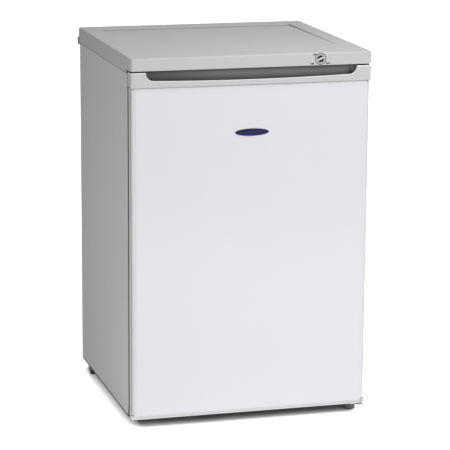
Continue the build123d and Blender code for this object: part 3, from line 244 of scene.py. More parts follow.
class Surface:
    """A node material round one Principled shader, with short names for its usual steps."""

    def __init__(self, name, colour, roughness, metallic=0.0, specular=0.5):
        self.material = bpy.data.materials.new(name)
        self.material.use_nodes = True
        self.tree = self.material.node_tree
        self.shader = self.tree.nodes["Principled BSDF"]
        self.set("Base Color", (*colour, 1.0))
        self.set("Roughness", roughness)
        self.set("Metallic", metallic)
        self.set("Specular IOR Level", specular)
        self.places = self.tree.nodes.new("ShaderNodeTexCoord").outputs["Object"]

    def set(self, socket, value):
        """Sets a socket of the shader."""
        self.shader.inputs[socket].default_value = value

    def node(self, kind, **settings):
        """A new node of a kind, with its settings."""
        made = self.tree.nodes.new(kind)
        for key, value in settings.items():
            setattr(made, key, value)
        return made

    def link(self, source, target):
        """Joins an output to an input."""
        self.tree.links.new(source, target)

    def stretched(self, scale):
        """The object's places, scaled along X, Y and Z."""
        mapping = self.node("ShaderNodeMapping")
        mapping.inputs["Scale"].default_value = scale
        self.link(self.places, mapping.inputs["Vector"])
        return mapping.outputs["Vector"]

    def along(self, axis):
        """How far a point lies along an axis of the object, in metres."""
        parts = self.node("ShaderNodeSeparateXYZ")
        self.link(self.places, parts.inputs["Vector"])
        return parts.outputs[axis]

    def beside(self, axis, middle=0.0):
        """How far a point lies from a place on an axis, to either side, in metres."""
        return self.combine(self.combine(self.along(axis), -middle, "ADD"), 0.0, "ABSOLUTE")

    def noise(self, scale, detail, stretch=(1, 1, 1)):
        """A cloudy pattern that wanders about one half."""
        texture = self.node("ShaderNodeTexNoise")
        texture.inputs["Scale"].default_value = scale
        texture.inputs["Detail"].default_value = detail
        self.link(self.stretched(stretch), texture.inputs["Vector"])
        return texture.outputs["Fac"]

    def cells(self, scale, output="Distance"):
        """A pattern of cells: the distance from their middles, or a colour for each."""
        texture = self.node("ShaderNodeTexVoronoi")
        texture.inputs["Scale"].default_value = scale
        self.link(self.stretched((1, 1, 1)), texture.inputs["Vector"])
        return texture.outputs[output]

    def fit(self, value, low, high, new_low=0.0, new_high=1.0):
        """Maps a value from one range to another and stops at its ends."""
        step = self.node("ShaderNodeMapRange")
        self.link(value, step.inputs["Value"])
        ends = {"From Min": low, "From Max": high, "To Min": new_low, "To Max": new_high}
        for socket, number in ends.items():
            step.inputs[socket].default_value = number
        return step.outputs["Result"]

    def combine(self, first, second, operation="MULTIPLY"):
        """One value worked out from two. Each is a socket or a number."""
        step = self.node("ShaderNodeMath", operation=operation)
        for value, socket in ((first, step.inputs[0]), (second, step.inputs[1])):
            if isinstance(value, (int, float)):
                socket.default_value = value
            else:
                self.link(value, socket)
        return step.outputs["Value"]

    def length(self, first, second):
        """The length of a line, from how far it runs along two axes."""
        squares = [self.combine(run, 2.0, "POWER") for run in (first, second)]
        return self.combine(self.combine(*squares, "ADD"), 0.5, "POWER")

    def edges(self, radius):
        """Where the surface turns within a radius: one on its edges and nought on its flats."""
        rounded = self.node("ShaderNodeBevel", samples=edge_samples)
        rounded.inputs["Radius"].default_value = radius
        plain = self.node("ShaderNodeNewGeometry")
        product = self.node("ShaderNodeVectorMath", operation="DOT_PRODUCT")
        self.link(rounded.outputs["Normal"], product.inputs[0])
        self.link(plain.outputs["Normal"], product.inputs[1])
        turn = self.combine(1.0, product.outputs["Value"], "SUBTRACT")
        return self.fit(turn, edge_faint, edge_full)

    def crevices(self, distance, dark=0.35, unmarked=0.95):
        """Where something lies close in front of the surface: one in corners and nought in the open. Mostly
        used to lay painted shade in gaps and corners.
        """
        openness = self.node("ShaderNodeAmbientOcclusion", samples=crevice_samples)
        openness.inputs["Distance"].default_value = distance
        return self.fit(openness.outputs["AO"], dark, unmarked, 1.0, 0.0)

    def upward(self):
        """How far the surface faces up: nought where it is upright and one where it is level."""
        plain = self.node("ShaderNodeNewGeometry")
        parts = self.node("ShaderNodeSeparateXYZ")
        self.link(plain.outputs["Normal"], parts.inputs["Vector"])
        return parts.outputs["Z"]

    def between(self, value, low, high, blur):
        """One where a value lies between two others and nought elsewhere."""
        above = self.fit(value, low - blur, low)
        return self.combine(above, self.fit(value, high, high + blur, 1.0, 0.0))

    def paint(self, amount, colour):
        """Lays another colour over the base colour, as much as the amount says."""
        mix = self.node("ShaderNodeMix", data_type="RGBA")
        target = self.shader.inputs["Base Color"]
        below, above = (socket for socket in mix.inputs if socket.type == "RGBA")
        if target.is_linked:
            self.link(target.links[0].from_socket, below)
        else:
            below.default_value = target.default_value
        above.default_value = (*colour, 1.0)
        factor = next(socket for socket in mix.inputs if socket.name == "Factor" and socket.type == "VALUE")
        self.link(amount, factor)
        result = next(socket for socket in mix.outputs if socket.type == "RGBA")
        self.link(result, target)

    def mottle(self, scale, detail, amount, colour, start=0.4, end=0.7, stretch=(1, 1, 1)):
        """Clouds of another colour: none at the start of the noise's range, and the amount at its end."""
        self.paint(self.fit(self.noise(scale, detail, stretch), start, end, 0.0, amount), colour)

    def gloss(self, value):
        """Takes the roughness from a pattern."""
        self.link(value, self.shader.inputs["Roughness"])

    def vary_gloss(self, scale, detail, low, high):
        """A roughness that wanders between two values."""
        self.gloss(self.fit(self.noise(scale, detail), noise_low, noise_high, low, high))

    def bump(self, height, depth, strength):
        """Adds a bump over the bumps that are there already."""
        step = self.node("ShaderNodeBump")
        step.inputs["Strength"].default_value = strength
        step.inputs["Distance"].default_value = depth
        self.link(height, step.inputs["Height"])
        target = self.shader.inputs["Normal"]
        if target.is_linked:
            self.link(target.links[0].from_socket, step.inputs["Normal"])
        self.link(step.outputs["Normal"], target)

    def grain(self, scale, detail, depth, strength):
        """Bumps that follow a noise."""
        self.bump(self.noise(scale, detail), depth, strength)


def shade(colour, factor):
    """The same colour, lighter or darker."""
    return tuple(min(1.0, part * factor) for part in colour)


def painted_steel(name, colour, roughness, coat, specular=0.5, foot_shade_top=None):
    """Coil coated sheet: a fine orange peel, faint upright bands from rolling, and paler edges."""
    surface = Surface(name, colour, roughness, specular=specular)
    surface.set("Coat Weight", coat)
    surface.set("Coat Roughness", 0.15)
    surface.mottle(scale=7.0, detail=2.0, stretch=(1.0, 1.0, 0.01), start=noise_low, end=noise_high,
                   amount=0.5, colour=shade(colour, 0.985))
    surface.paint(surface.edges(1.2 * mm), shade(colour, 1.04))
    # Painted shade: a dark line along the foot of the sheet
    if foot_shade_top is not None:
        line = surface.fit(surface.along("Z"), foot_shade_top, foot_shade_top + line_blur, 1.0, 0.0)
        surface.paint(line, foot_shade_colour)
    # Painted shade in gaps and corners
    surface.paint(surface.crevices(*wide_crevice_shade), crevice_shade_colour)
    surface.vary_gloss(scale=30.0, detail=3.0, low=0.92 * roughness, high=1.08 * roughness)
    surface.grain(scale=520.0, detail=2.0, depth=0.03 * mm, strength=0.25)
    return surface


def moulded_plastic(name, colour, roughness, relief=0.5, specular=0.45, crevice_shade=tight_crevice_shade, edge_highlight=1.06,
                    edge_radius=1.0 * mm):
    """Moulded plastic with a spark eroded grain, a faint flow pattern, paler edges as a painted highlight,
    and painted shade in its crevices.
    """
    surface = Surface(name, colour, roughness, specular=specular)
    surface.mottle(scale=3.0, detail=2.0, stretch=(1.0, 1.6, 1.0), start=noise_low, end=noise_high,
                   amount=0.5, colour=shade(colour, 0.98))
    # Painted highlight: paler edges
    surface.paint(surface.edges(edge_radius), shade(colour, edge_highlight))
    # Painted shade in crevices
    surface.paint(surface.crevices(*crevice_shade), crevice_shade_colour)
    surface.vary_gloss(scale=60.0, detail=3.0, low=0.93 * roughness, high=1.07 * roughness)
    surface.grain(scale=2600.0, detail=2.0, depth=0.06 * mm, strength=relief)
    return surface


def dial_moulding(name, colour, roughness, relief):
    """Moulded plastic with a painted shade line round the dial, at the outer edge of its bezel."""
    surface = moulded_plastic(name, colour, roughness, relief=relief)
    low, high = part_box("dial_bezel")
    centre = (low + high) / 2
    shade_radius = (high.x - low.x) / 2 - dial_shade_inset
    radius = surface.length(surface.beside("X", centre.x), surface.beside("Z", centre.z))
    offset = surface.combine(surface.combine(radius, -shade_radius, "ADD"), 0.0, "ABSOLUTE")
    inner = (0.5 - dial_shade_blur) * dial_shade_width
    outer = (0.5 + dial_shade_blur) * dial_shade_width
    surface.paint(surface.fit(offset, inner, outer, 1.0, 0.0), dial_shade_colour)
    return surface


def zinc_steel(name):
    """Zinc plated steel: bright and slightly mottled, duller in its corners and bright on its edges."""
    surface = Surface(name, (0.56, 0.56, 0.55), 0.34, metallic=1.0)
    surface.mottle(scale=55.0, detail=5.0, start=0.4, end=0.65, amount=0.6, colour=(0.44, 0.45, 0.46))
    surface.paint(surface.crevices(4 * mm), (0.22, 0.21, 0.20))
    surface.paint(surface.edges(0.8 * mm), (0.78, 0.78, 0.77))
    surface.vary_gloss(scale=90.0, detail=4.0, low=0.24, high=0.46)
    surface.grain(scale=900.0, detail=3.0, depth=0.04 * mm, strength=0.4)
    return surface


def galvanised_steel(name):
    """Hot dipped sheet with its crystal spangle."""
    surface = Surface(name, (0.60, 0.61, 0.62), 0.42, metallic=1.0)
    spangle = surface.cells(scale=95.0, output="Color")
    tone = surface.node("ShaderNodeSeparateColor")
    surface.link(spangle, tone.inputs["Color"])
    surface.paint(surface.fit(tone.outputs["Red"], 0.0, 1.0, new_high=0.75), (0.47, 0.48, 0.50))
    surface.paint(surface.crevices(20 * mm), (0.25, 0.25, 0.24))
    surface.gloss(surface.fit(tone.outputs["Green"], 0.0, 1.0, new_low=0.30, new_high=0.55))
    surface.grain(scale=420.0, detail=3.0, depth=0.05 * mm, strength=0.3)
    return surface


def rigid_foam(name):
    """Cut and moulded polyurethane foam with open cells."""
    surface = Surface(name, (0.80, 0.72, 0.50), 0.9, specular=0.2)
    surface.mottle(scale=25.0, detail=5.0, start=0.35, end=0.7, amount=0.6, colour=(0.70, 0.60, 0.38))
    cells = surface.cells(scale=900.0)
    surface.paint(surface.fit(cells, 0.0, 0.35, new_low=0.5, new_high=0.0), (0.50, 0.42, 0.26))
    surface.bump(cells, depth=0.4 * mm, strength=0.6)
    return surface


def soft_rubber(name, colour):
    """Extruded vinyl or rubber: matt, with a dusty bloom and fine drawing lines."""
    surface = Surface(name, colour, 0.62, specular=0.35)
    surface.mottle(scale=30.0, detail=4.0, amount=0.4, colour=shade(colour, 1.25))
    surface.paint(surface.crevices(6 * mm), shade(colour, 0.45))
    surface.grain(scale=300.0, detail=2.0, depth=0.1 * mm, strength=0.4)
    return surface


def stoved_black(name, roughness):
    """Thick black stoving paint with a slight sag and dust on top."""
    surface = Surface(name, (0.022, 0.022, 0.024), roughness)
    surface.mottle(scale=22.0, detail=5.0, start=0.45, end=0.75, amount=0.35, colour=(0.07, 0.068, 0.064))
    surface.paint(surface.edges(1.0 * mm), (0.075, 0.075, 0.078))
    surface.vary_gloss(scale=50.0, detail=3.0, low=0.8 * roughness, high=1.3 * roughness)
    surface.grain(scale=160.0, detail=3.0, depth=0.15 * mm, strength=0.35)
    return surface


def dull_copper(name):
    """Drawn copper tube that has started to tarnish."""
    surface = Surface(name, (0.74, 0.42, 0.28), 0.28, metallic=1.0)
    surface.mottle(scale=45.0, detail=5.0, start=0.42, end=0.68, amount=0.75, colour=(0.42, 0.22, 0.14))
    surface.paint(surface.crevices(6 * mm), (0.16, 0.09, 0.06))
    surface.vary_gloss(scale=80.0, detail=4.0, low=0.20, high=0.48)
    surface.grain(scale=500.0, detail=2.0, depth=0.05 * mm, strength=0.3)
    return surface


def glossy_moulding(name, colour, roughness=0.34):
    """Vacuum formed or moulded sheet, fairly glossy, with soft drawing waves."""
    surface = Surface(name, colour, roughness)
    surface.mottle(scale=8.0, detail=3.0, amount=0.4, colour=shade(colour, 0.97))
    surface.paint(surface.edges(1.5 * mm), shade(colour, 1.05))
    surface.vary_gloss(scale=12.0, detail=2.0, low=0.93 * roughness, high=1.07 * roughness)
    surface.grain(scale=14.0, detail=2.0, depth=0.8 * mm, strength=0.1)
    surface.grain(scale=1800.0, detail=2.0, depth=0.02 * mm, strength=0.2)
    return surface


def milky_plastic(name):
    """Milky drawer plastic, a little cloudy, with a fine grain."""
    surface = Surface(name, (0.78, 0.83, 0.87), 0.38)
    surface.set("Subsurface Weight", 0.3)
    surface.set("Subsurface Radius", (1.0, 1.0, 1.0))
    surface.set("Subsurface Scale", 4 * mm)
    surface.mottle(scale=12.0, detail=3.0, amount=0.4, colour=(0.73, 0.80, 0.85))
    surface.vary_gloss(scale=30.0, detail=2.0, low=0.34, high=0.42)
    surface.grain(scale=1500.0, detail=2.0, depth=0.03 * mm, strength=0.25)
    return surface


def enamel(name, colour):
    """Hard glossy enamel with a slight depth of tone."""
    surface = Surface(name, colour, 0.2, specular=0.3)
    surface.set("Coat Weight", 0.15)
    surface.mottle(scale=120.0, detail=3.0, amount=0.4, colour=shade(colour, 1.3))
    surface.grain(scale=300.0, detail=2.0, depth=0.03 * mm, strength=0.2)
    return surface


# Finish of each material slot
finishes = {
    "cabinet_white": painted_steel(
        "cabinet_paint", colour=(0.70, 0.69, 0.683), roughness=0.42, coat=0.1, specular=0.3,
        foot_shade_top=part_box("left_side_panel")[0].z + foot_shade_height,
    ),
    "door_white": painted_steel("door_paint", colour=(0.77, 0.775, 0.80), roughness=0.34, coat=0.2),
    "worktop_plastic": moulded_plastic(
        "worktop_moulding", colour=(0.585, 0.582, 0.575), roughness=0.58, relief=0.35, specular=0.2,
    ),
    # The grip rail's much paler edges are a painted highlight
    "trim_plastic": moulded_plastic(
        "trim_moulding", colour=(0.61, 0.61, 0.615), roughness=0.24, relief=0.12, specular=0.7,
        crevice_shade=trim_crevice_shade, edge_highlight=1.45, edge_radius=1.5 * mm,
    ),
    "pocket_plastic": moulded_plastic(
        "pocket_moulding", colour=(0.235, 0.235, 0.238), roughness=0.34, relief=0.2, crevice_shade=pocket_crevice_shade,
    ),
    "spacer_plastic": moulded_plastic("spacer_moulding", colour=(0.20, 0.20, 0.205), roughness=0.5),
    "bush_plastic": moulded_plastic(
        "bush_moulding", colour=(0.72, 0.72, 0.70), roughness=0.35, relief=0.15,
    ),
    "dial_plastic": dial_moulding("dial_moulding", colour=(0.66, 0.66, 0.66), roughness=0.28, relief=0.1),
    "switch_plastic": moulded_plastic("switch_moulding", colour=(0.045, 0.045, 0.045), roughness=0.45),
    "foot_plastic": moulded_plastic("foot_moulding", colour=(0.19, 0.19, 0.195), roughness=0.42),
    "roller_plastic": moulded_plastic("roller_moulding", colour=(0.06, 0.06, 0.06), roughness=0.45),
    "black_plastic": moulded_plastic("black_moulding", colour=(0.025, 0.025, 0.027), roughness=0.40),
    "galvanised": galvanised_steel("galvanised_sheet"),
    "zinc_steel": zinc_steel("zinc_plate"),
    "liner_plastic": glossy_moulding("liner_sheet", colour=(0.86, 0.87, 0.88)),
    "drawer_front_plastic": glossy_moulding("drawer_front_moulding", colour=(0.84, 0.86, 0.88)),
    "drawer_clear": milky_plastic("drawer_moulding"),
    "foam": rigid_foam("insulation"),
    "gasket_rubber": soft_rubber("gasket_vinyl", colour=(0.10, 0.10, 0.10)),
    "grommet_rubber": soft_rubber("grommet_rubber", colour=(0.03, 0.03, 0.03)),
    "badge_enamel": enamel("badge_enamel", colour=(0.011, 0.010, 0.075)),
    "compressor_black": stoved_black("compressor_paint", roughness=0.38),
    "condenser_black": stoved_black("condenser_paint", roughness=0.45),
    "copper": dull_copper("tarnished_copper"),
    "shelf_enamel": glossy_moulding("shelf_coating", colour=(0.84, 0.86, 0.88), roughness=0.3),
}


def shade_door_folds():
    """Painted shade down each side of the door, where its face ends and its folded edge begins."""
    paint = finishes["door_white"]
    low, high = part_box("door_panel")
    sides = paint.fit(paint.beside("X"), high.x - fold_side_faint, high.x - fold_side_full)
    line = paint.between(paint.along("Y"), low.y + fold_start, low.y + fold_end, fold_blur)
    paint.paint(paint.combine(sides, line), fold_shade_colour)


def mark_door_gap():
    """The shade behind the door, on the front edges of the casing."""
    paint = finishes["cabinet_white"]
    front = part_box("left_side_panel")[0].y
    edge = paint.fit(paint.along("Y"), front + door_gap_depth, front + 2 * door_gap_depth, 1.0, 0.0)
    paint.paint(paint.combine(paint.crevices(*door_gap_crevice_shade), edge), crevice_shade_colour)


def mark_bottom_cap():
    """The paler moulding at the foot of the door."""
    paint = finishes["trim_plastic"]
    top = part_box("door_bottom_cap")[1].z
    paint.paint(paint.fit(paint.along("Z"), top, top + line_blur, cap_paleness, 0.0), cap_colour)


def mark_pocket_shade():
    """The darker left end of the pocket behind the grip rail."""
    paint = finishes["pocket_plastic"]
    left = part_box("grip_pocket")[0].x
    start = left + pocket_shade_start
    end = left + pocket_shade_end
    paint.paint(paint.fit(paint.along("X"), start, end, pocket_shade_depth, 0.0), crevice_shade_colour)


def shade_rail_ends():
    """Painted shade: a dark line at the back edge of the grip rail's two ends."""
    paint = finishes["trim_plastic"]
    low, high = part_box("handle_trim")
    sides = paint.fit(paint.beside("X"), high.x - cheek_side_faint, high.x - cheek_side_full)
    start = high.y - cheek_shade_width
    line = paint.combine(sides, paint.fit(paint.along("Y"), start - line_blur, start))
    upper = paint.fit(paint.along("Z"), low.z - cheek_foot_fade, low.z)
    paint.paint(paint.combine(line, upper), cheek_shade_colour)


def highlight_rail_lip():
    """Painted highlight on the roundings along the lip and the top of the grip rail."""
    paint = finishes["trim_plastic"]
    paint.paint(paint.between(paint.upward(), lip_low, lip_high, lip_blur), lip_highlight_colour)


def mark_skirt_line():
    """The line of shade on the sides of the casing under the worktop's skirt."""
    paint = finishes["cabinet_white"]
    sides = paint.fit(paint.beside("X"), skirt_side_faint * cad_high.x, skirt_side_full * cad_high.x)
    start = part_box("worktop_shell")[0].z - skirt_line_height
    line = paint.fit(paint.along("Z"), start - line_blur, start)
    paint.paint(paint.combine(sides, line), skirt_shade_colour)


def dress_nodes():
    """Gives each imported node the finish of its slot."""
    for entry in frame["record"]["subparts"]:
        piece = nodes[entry["node"]]
        piece.data.materials.clear()
        piece.data.materials.append(finishes[entry["material_slot"]].material)


def smooth(mesh):
    """Smooth shading that keeps the sharp edges sharp."""
    mesh.polygons.foreach_set("use_smooth", [True] * len(mesh.polygons))
    mesh.set_sharp_from_angle(angle=sharp_angle)


def add_piece(name, mesh, body, slot):
    """Puts a mesh in the scene as a piece of a body, with the finish of its slot."""
    piece = bpy.data.objects.new(name, mesh)
    bpy.context.scene.collection.objects.link(piece)
    mesh.materials.clear()
    mesh.materials.append(finishes[slot].material)
    smooth(mesh)
    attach(piece, body)
    return piece


def mesh_of(name, form):
    """Turns a form under construction into a mesh with its faces outwards."""
    bmesh.ops.recalc_face_normals(form, faces=form.faces)
    mesh = bpy.data.meshes.new(name)
    form.to_mesh(mesh)
    form.free()
    return mesh


def join_rings(form, rings, steps):
    """Faces between each ring of corners and the next. A ring of one corner closes an end."""
    for lower, upper in zip(rings, rings[1:]):
        for step in range(steps):
            after = (step + 1) % steps
            corners = [lower[step % len(lower)], lower[after % len(lower)],
                       upper[after % len(upper)], upper[step % len(upper)]]
            form.faces.new(list(dict.fromkeys(corners)))


def turned(name, profile, centre, axis, steps=round_steps):
    """A turned solid. The profile runs from axis to axis as pairs of radius and height along the axis."""
    along = Vector(axis).normalized()
    across = along.orthogonal().normalized()
    third = along.cross(across)
    form = bmesh.new()
    rings = []
    for radius, height in profile:
        base = Vector(centre) + along * height
        if radius == 0:
            rings.append([form.verts.new(base)])
            continue
        ring = []
        for step in range(steps):
            angle = 2 * math.pi * step / steps
            outward = across * math.cos(angle) + third * math.sin(angle)
            ring.append(form.verts.new(base + radius * outward))
        rings.append(ring)
    join_rings(form, rings, steps)
    return mesh_of(name, form)


def block(name, low, high, bevel=0.0):
    """A box, with rounded edges where it has a bevel."""
    form = bmesh.new()
    bmesh.ops.create_cube(form, size=1.0)
    size = Vector(high) - Vector(low)
    middle = (Vector(high) + Vector(low)) / 2
    for vert in form.verts:
        vert.co = Vector(part * length for part, length in zip(vert.co, size)) + middle
    if bevel:
        bmesh.ops.bevel(form, geom=form.edges[:], offset=bevel, segments=bevel_steps,
                        profile=bevel_roundness, affect="EDGES")
    return mesh_of(name, form)


def cut(mesh, cutters):
    """A mesh with other meshes taken out of it."""
    keep = bpy.data.objects.new("kept", mesh)
    bpy.context.scene.collection.objects.link(keep)
    tools = []
    for cutter in cutters:
        tool = bpy.data.objects.new("tool", cutter)
        bpy.context.scene.collection.objects.link(tool)
        tools.append(tool)
        step = keep.modifiers.new("cut", "BOOLEAN")
        step.operation = "DIFFERENCE"
        step.object = tool
        step.solver = "EXACT"
    result = bpy.data.meshes.new_from_object(keep.evaluated_get(bpy.context.evaluated_depsgraph_get()))
    for used in (keep, *tools):
        old = used.data
        bpy.data.objects.remove(used)
        bpy.data.meshes.remove(old)
    return result


def islands(node):
    """The lowest and highest corner of each separate solid in a node."""
    form = bmesh.new()
    form.from_mesh(nodes[node].data)
    bmesh.ops.remove_doubles(form, verts=form.verts, dist=weld_distance)
    left = set(form.verts)
    found = []
    while left:
        grow = [left.pop()]
        group = []
        while grow:
            vert = grow.pop()
            group.append(vert.co.copy())
            for edge in vert.link_edges:
                other = edge.other_vert(vert)
                if other in left:
                    left.remove(other)
                    grow.append(other)
        found.append((Vector(map(min, zip(*group))), Vector(map(max, zip(*group)))))
    form.free()
    return sorted(found, key=lambda box: tuple(box[0]))


def make_dial():
    """Knob: a pale rim round a dark floor, with a raised bar to turn it by."""
    low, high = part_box("dial_knob")
    centre = (low + high) / 2
    radius = (high.x - low.x) / 2
    inner = radius - knob_rim
    front, back = low.y, high.y
    floor = front + knob_floor_depth
    rounding = knob_rounding
    corner = knob_rounding_middle * knob_rounding
    axis_foot = (centre.x, 0.0, centre.z)
    axis = (0, 1, 0)
    section = [
        (0.0, back), (radius, back), (radius, front + rounding), (radius - corner, front + corner),
        (radius - rounding, front), (inner + rounding, front), (inner + corner, front + corner),
        (inner, front + rounding), (inner, floor), (0.0, floor),
    ]
    rim = turned("dial_knob_rim", section, axis_foot, axis)
    piece = add_piece("dial_knob_rim", rim, "knob", "dial_plastic")
    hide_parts("dial_knob")
    edge = inner - knob_floor_gap
    top = floor - knob_floor_thickness
    plate_section = [(0.0, floor), (edge, floor), (edge, top), (0.0, top)]
    plate = turned("dial_knob_floor", plate_section, axis_foot, axis)
    add_piece("dial_knob_floor", plate, "knob", "switch_plastic")
    half_length = inner + knob_bar_reach
    half_width = knob_bar_width / 2
    bar = block("dial_knob_bar", (-half_length, front, -half_width),
                (half_length, floor - knob_bar_lift, half_width), knob_bar_rounding)
    bar.transform(Matrix.Translation(axis_foot) @ Matrix.Rotation(-knob_bar_angle, 4, "Y"))
    add_piece("dial_knob_bar", bar, "knob", "dial_plastic")


def make_words():
    """The words round the dial, printed on the band."""
    low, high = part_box("dial_knob")
    centre = (low + high) / 2
    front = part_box("worktop_shell")[0].y
    for word, (right, up) in words.items():
        curve = bpy.data.curves.new(word, "FONT")
        curve.body = word
        curve.size = word_height / capital_share
        curve.align_x = "CENTER"
        curve.align_y = "CENTER"
        curve.extrude = word_thickness
        curve.offset = word_boldness
        writer = bpy.data.objects.new(word, curve)
        mesh = bpy.data.meshes.new_from_object(writer)
        bpy.data.objects.remove(writer)
        bpy.data.curves.remove(curve)
        place = Vector((centre.x + right, front, centre.z + up))
        mesh.transform(Matrix.Translation(place) @ Matrix.Rotation(math.pi / 2, 4, "X"))
        add_piece(f"dial_word_{word.lower()}", mesh, "cabinet", "switch_plastic")


def oval_plate(name, half_length, half_height, centre, front, back, bevel, dome=0.0):
    """An oval plate that faces the front, with a bevelled edge and a slight dome."""
    form = bmesh.new()
    rim = 1.0 - bevel / half_height
    levels = [(0.0, back), (1.0, back), (1.0, front + dome + bevel), (rim, front + dome)]
    for share in oval_rings:
        levels.append((rim * share, front + dome * share * share))
    rings = []
    for share, depth in levels:
        if share == 0:
            rings.append([form.verts.new((centre.x, depth, centre.z))])
            continue
        up = half_height * share
        if share > rim * oval_border:
            across = half_length - half_height * (1 - share)
        else:
            across = half_length * share
        ring = []
        for step in range(oval_steps):
            angle = 2 * math.pi * step / oval_steps
            place = (centre.x + across * math.cos(angle), depth, centre.z + up * math.sin(angle))
            ring.append(form.verts.new(place))
        rings.append(ring)
    join_rings(form, rings, oval_steps)
    return mesh_of(name, form)


def make_badge():
    """Bare oval badge: a pale rim round a navy enamelled field."""
    low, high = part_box("badge_plate")
    centre = (low + high) / 2
    half_length = (high.x - low.x) / 2
    half_height = (high.z - low.z) / 2
    rim = oval_plate("badge_rim", half_length, half_height, centre, low.y + badge_sink, high.y,
                     badge_rim_bevel)
    piece = add_piece("badge_rim", rim, "door", "liner_plastic")
    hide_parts("badge_plate")
    field = oval_plate("badge_field", half_length - badge_rim, half_height - badge_rim, centre, low.y,
                       low.y + 2 * badge_sink, badge_field_bevel, badge_field_dome)
    add_piece("badge_field", field, "door", "badge_enamel")


def make_gasket():
    """Magnetic seal: a base strip, two soft folds and a flat head, run round the door as one loop."""
    low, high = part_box("door_gasket")
    centre = (low + high) / 2
    depth = high.y - low.y
    section = [(offset * mm, low.y + share * depth) for offset, share in seal_section]
    section += [(-offset, place) for offset, place in reversed(section)]
    half_x = (high.x - low.x) / 2 - seal_half_width - seal_corner
    half_z = (high.z - low.z) / 2 - seal_half_width - seal_corner
    form = bmesh.new()
    rings = []
    for quarter, (side_x, side_z) in enumerate(((1, 1), (-1, 1), (-1, -1), (1, -1))):
        middle = Vector((centre.x + side_x * half_x, 0, centre.z + side_z * half_z))
        for step in range(seal_corner_steps + 1):
            angle = math.pi / 2 * (quarter + step / seal_corner_steps)
            outward = Vector((math.cos(angle), 0, math.sin(angle)))
            ring = []
            for offset, place in section:
                base = middle + outward * (seal_corner + offset)
                ring.append(form.verts.new(base + Vector((0, place, 0))))
            rings.append(ring)
    join_rings(form, rings + rings[:1], len(section))
    piece = add_piece("door_seal", mesh_of("door_seal", form), "door", "gasket_rubber")
    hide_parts("door_gasket")


def screw_head(name, seat, axis, radius):
    """A pan head with a cross recess. It stands on its seat, along its axis."""
    profile = [(across * radius, up * head_height) for across, up in head_section]
    head = turned(name, profile, seat, axis, head_steps)
    turn = axis.to_track_quat("Z", "Y").to_matrix().to_4x4()
    floor = (1 - recess_depth) * head_height
    top = recess_top * head_height
    tools = []
    long = recess_arm * radius
    short = recess_width / 2 * radius
    for across, up in ((long, short), (short, long)):
        tool = block("recess", (-across, -up, floor), (across, up, top))
        tool.transform(Matrix.Translation(seat) @ turn)
        tools.append(tool)
    return cut(head, tools)


def screw(name, low, high, axis):
    """A screw that fills the box of a plain one, with its head at the end that the axis points to."""
    size = high - low
    length = max(size)
    middle = (low + high) / 2
    foot = middle - axis * length / 2
    grip = length - head_height
    head = screw_head("head", middle + axis * length / 2 - axis * head_height, axis, min(size) / 2)
    outline = [(0.0, 0.0), (shank_radius, 0.0), (shank_radius, grip), (0.0, grip)]
    shank = turned("shank", outline, foot, axis, shank_steps)
    form = bmesh.new()
    for mesh in (head, shank):
        form.from_mesh(mesh)
        bpy.data.meshes.remove(mesh)
    return mesh_of(name, form)


def make_screws():
    """Cross head screws in the place of the plain ones: at the back of the worktop and on the hinges."""
    half_way_up = (cad_low.z + cad_high.z) / 2
    for node in ("worktop_screws", "hinge_screws"):
        for number, (low, high) in enumerate(islands(node), 1):
            if node == "worktop_screws":
                axis = Vector((0, 1, 0))
            elif low.z > half_way_up:
                axis = Vector((0, 0, 1))
            else:
                axis = Vector((0, 0, -1))
            name = f"{node[:-1]}_{number}"
            piece = add_piece(name, screw(name, low, high, axis), "cabinet", "zinc_steel")
            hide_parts(node)


def set_camera():
    """A camera at the photograph's place, looking along its own direction."""
    forward = Vector((
        math.sin(camera_turn) * math.cos(camera_drop),
        math.cos(camera_turn) * math.cos(camera_drop),
        -math.sin(camera_drop),
    ))
    level = Vector((math.cos(camera_turn), -math.sin(camera_turn), 0.0))
    upright = level.cross(forward)
    right = math.cos(camera_roll) * level + math.sin(camera_roll) * upright
    up = -math.sin(camera_roll) * level + math.cos(camera_roll) * upright
    data = bpy.data.cameras.new("camera")
    data.sensor_width = sensor_width
    data.lens = focal_pixels / picture_pixels * sensor_width
    data.clip_start = camera_near
    data.clip_end = camera_far
    camera = bpy.data.objects.new("camera", data)
    bpy.context.scene.collection.objects.link(camera)
    turn = Matrix((right, up, -forward)).transposed()
    camera.matrix_world = Matrix.Translation(camera_place) @ turn.to_4x4()
    bpy.context.scene.camera = camera


def chosen(tree, first, second, switch):
    """The first value where the switch is nought and the second where it is one."""
    step = tree.nodes.new("ShaderNodeMapRange")
    for value, socket in ((first, "To Min"), (second, "To Max")):
        if isinstance(value, (int, float)):
            step.inputs[socket].default_value = value
        else:
            tree.links.new(value, step.inputs[socket])
    tree.links.new(switch, step.inputs["Value"])
    return step.outputs["Result"]


def mirrored_rays(tree, path):
    """One for the rays that a mirror or glass sends on."""
    step = tree.nodes.new("ShaderNodeMath")
    step.operation = "MAXIMUM"
    tree.links.new(path.outputs["Is Glossy Ray"], step.inputs[0])
    tree.links.new(path.outputs["Is Transmission Ray"], step.inputs[1])
    return step.outputs["Value"]


def set_world():
    """A grey sky, with one level overhead and one at the horizon, that shows as white."""
    world = bpy.data.worlds.new("studio")
    world.use_nodes = True
    tree = world.node_tree
    background = tree.nodes["Background"]
    background.inputs["Color"].default_value = (1.0, 1.0, 1.0, 1.0)
    path = tree.nodes.new("ShaderNodeLightPath")
    direction = tree.nodes.new("ShaderNodeTexCoord")
    parts = tree.nodes.new("ShaderNodeSeparateXYZ")
    tree.links.new(direction.outputs["Generated"], parts.inputs["Vector"])
    sky = chosen(tree, sky_horizon, sky_zenith, parts.outputs["Z"])
    unseen = chosen(tree, sky, 1.0, mirrored_rays(tree, path))
    strength = chosen(tree, unseen, 1.0, path.outputs["Is Camera Ray"])
    tree.links.new(strength, background.inputs["Strength"])
    bpy.context.scene.world = world


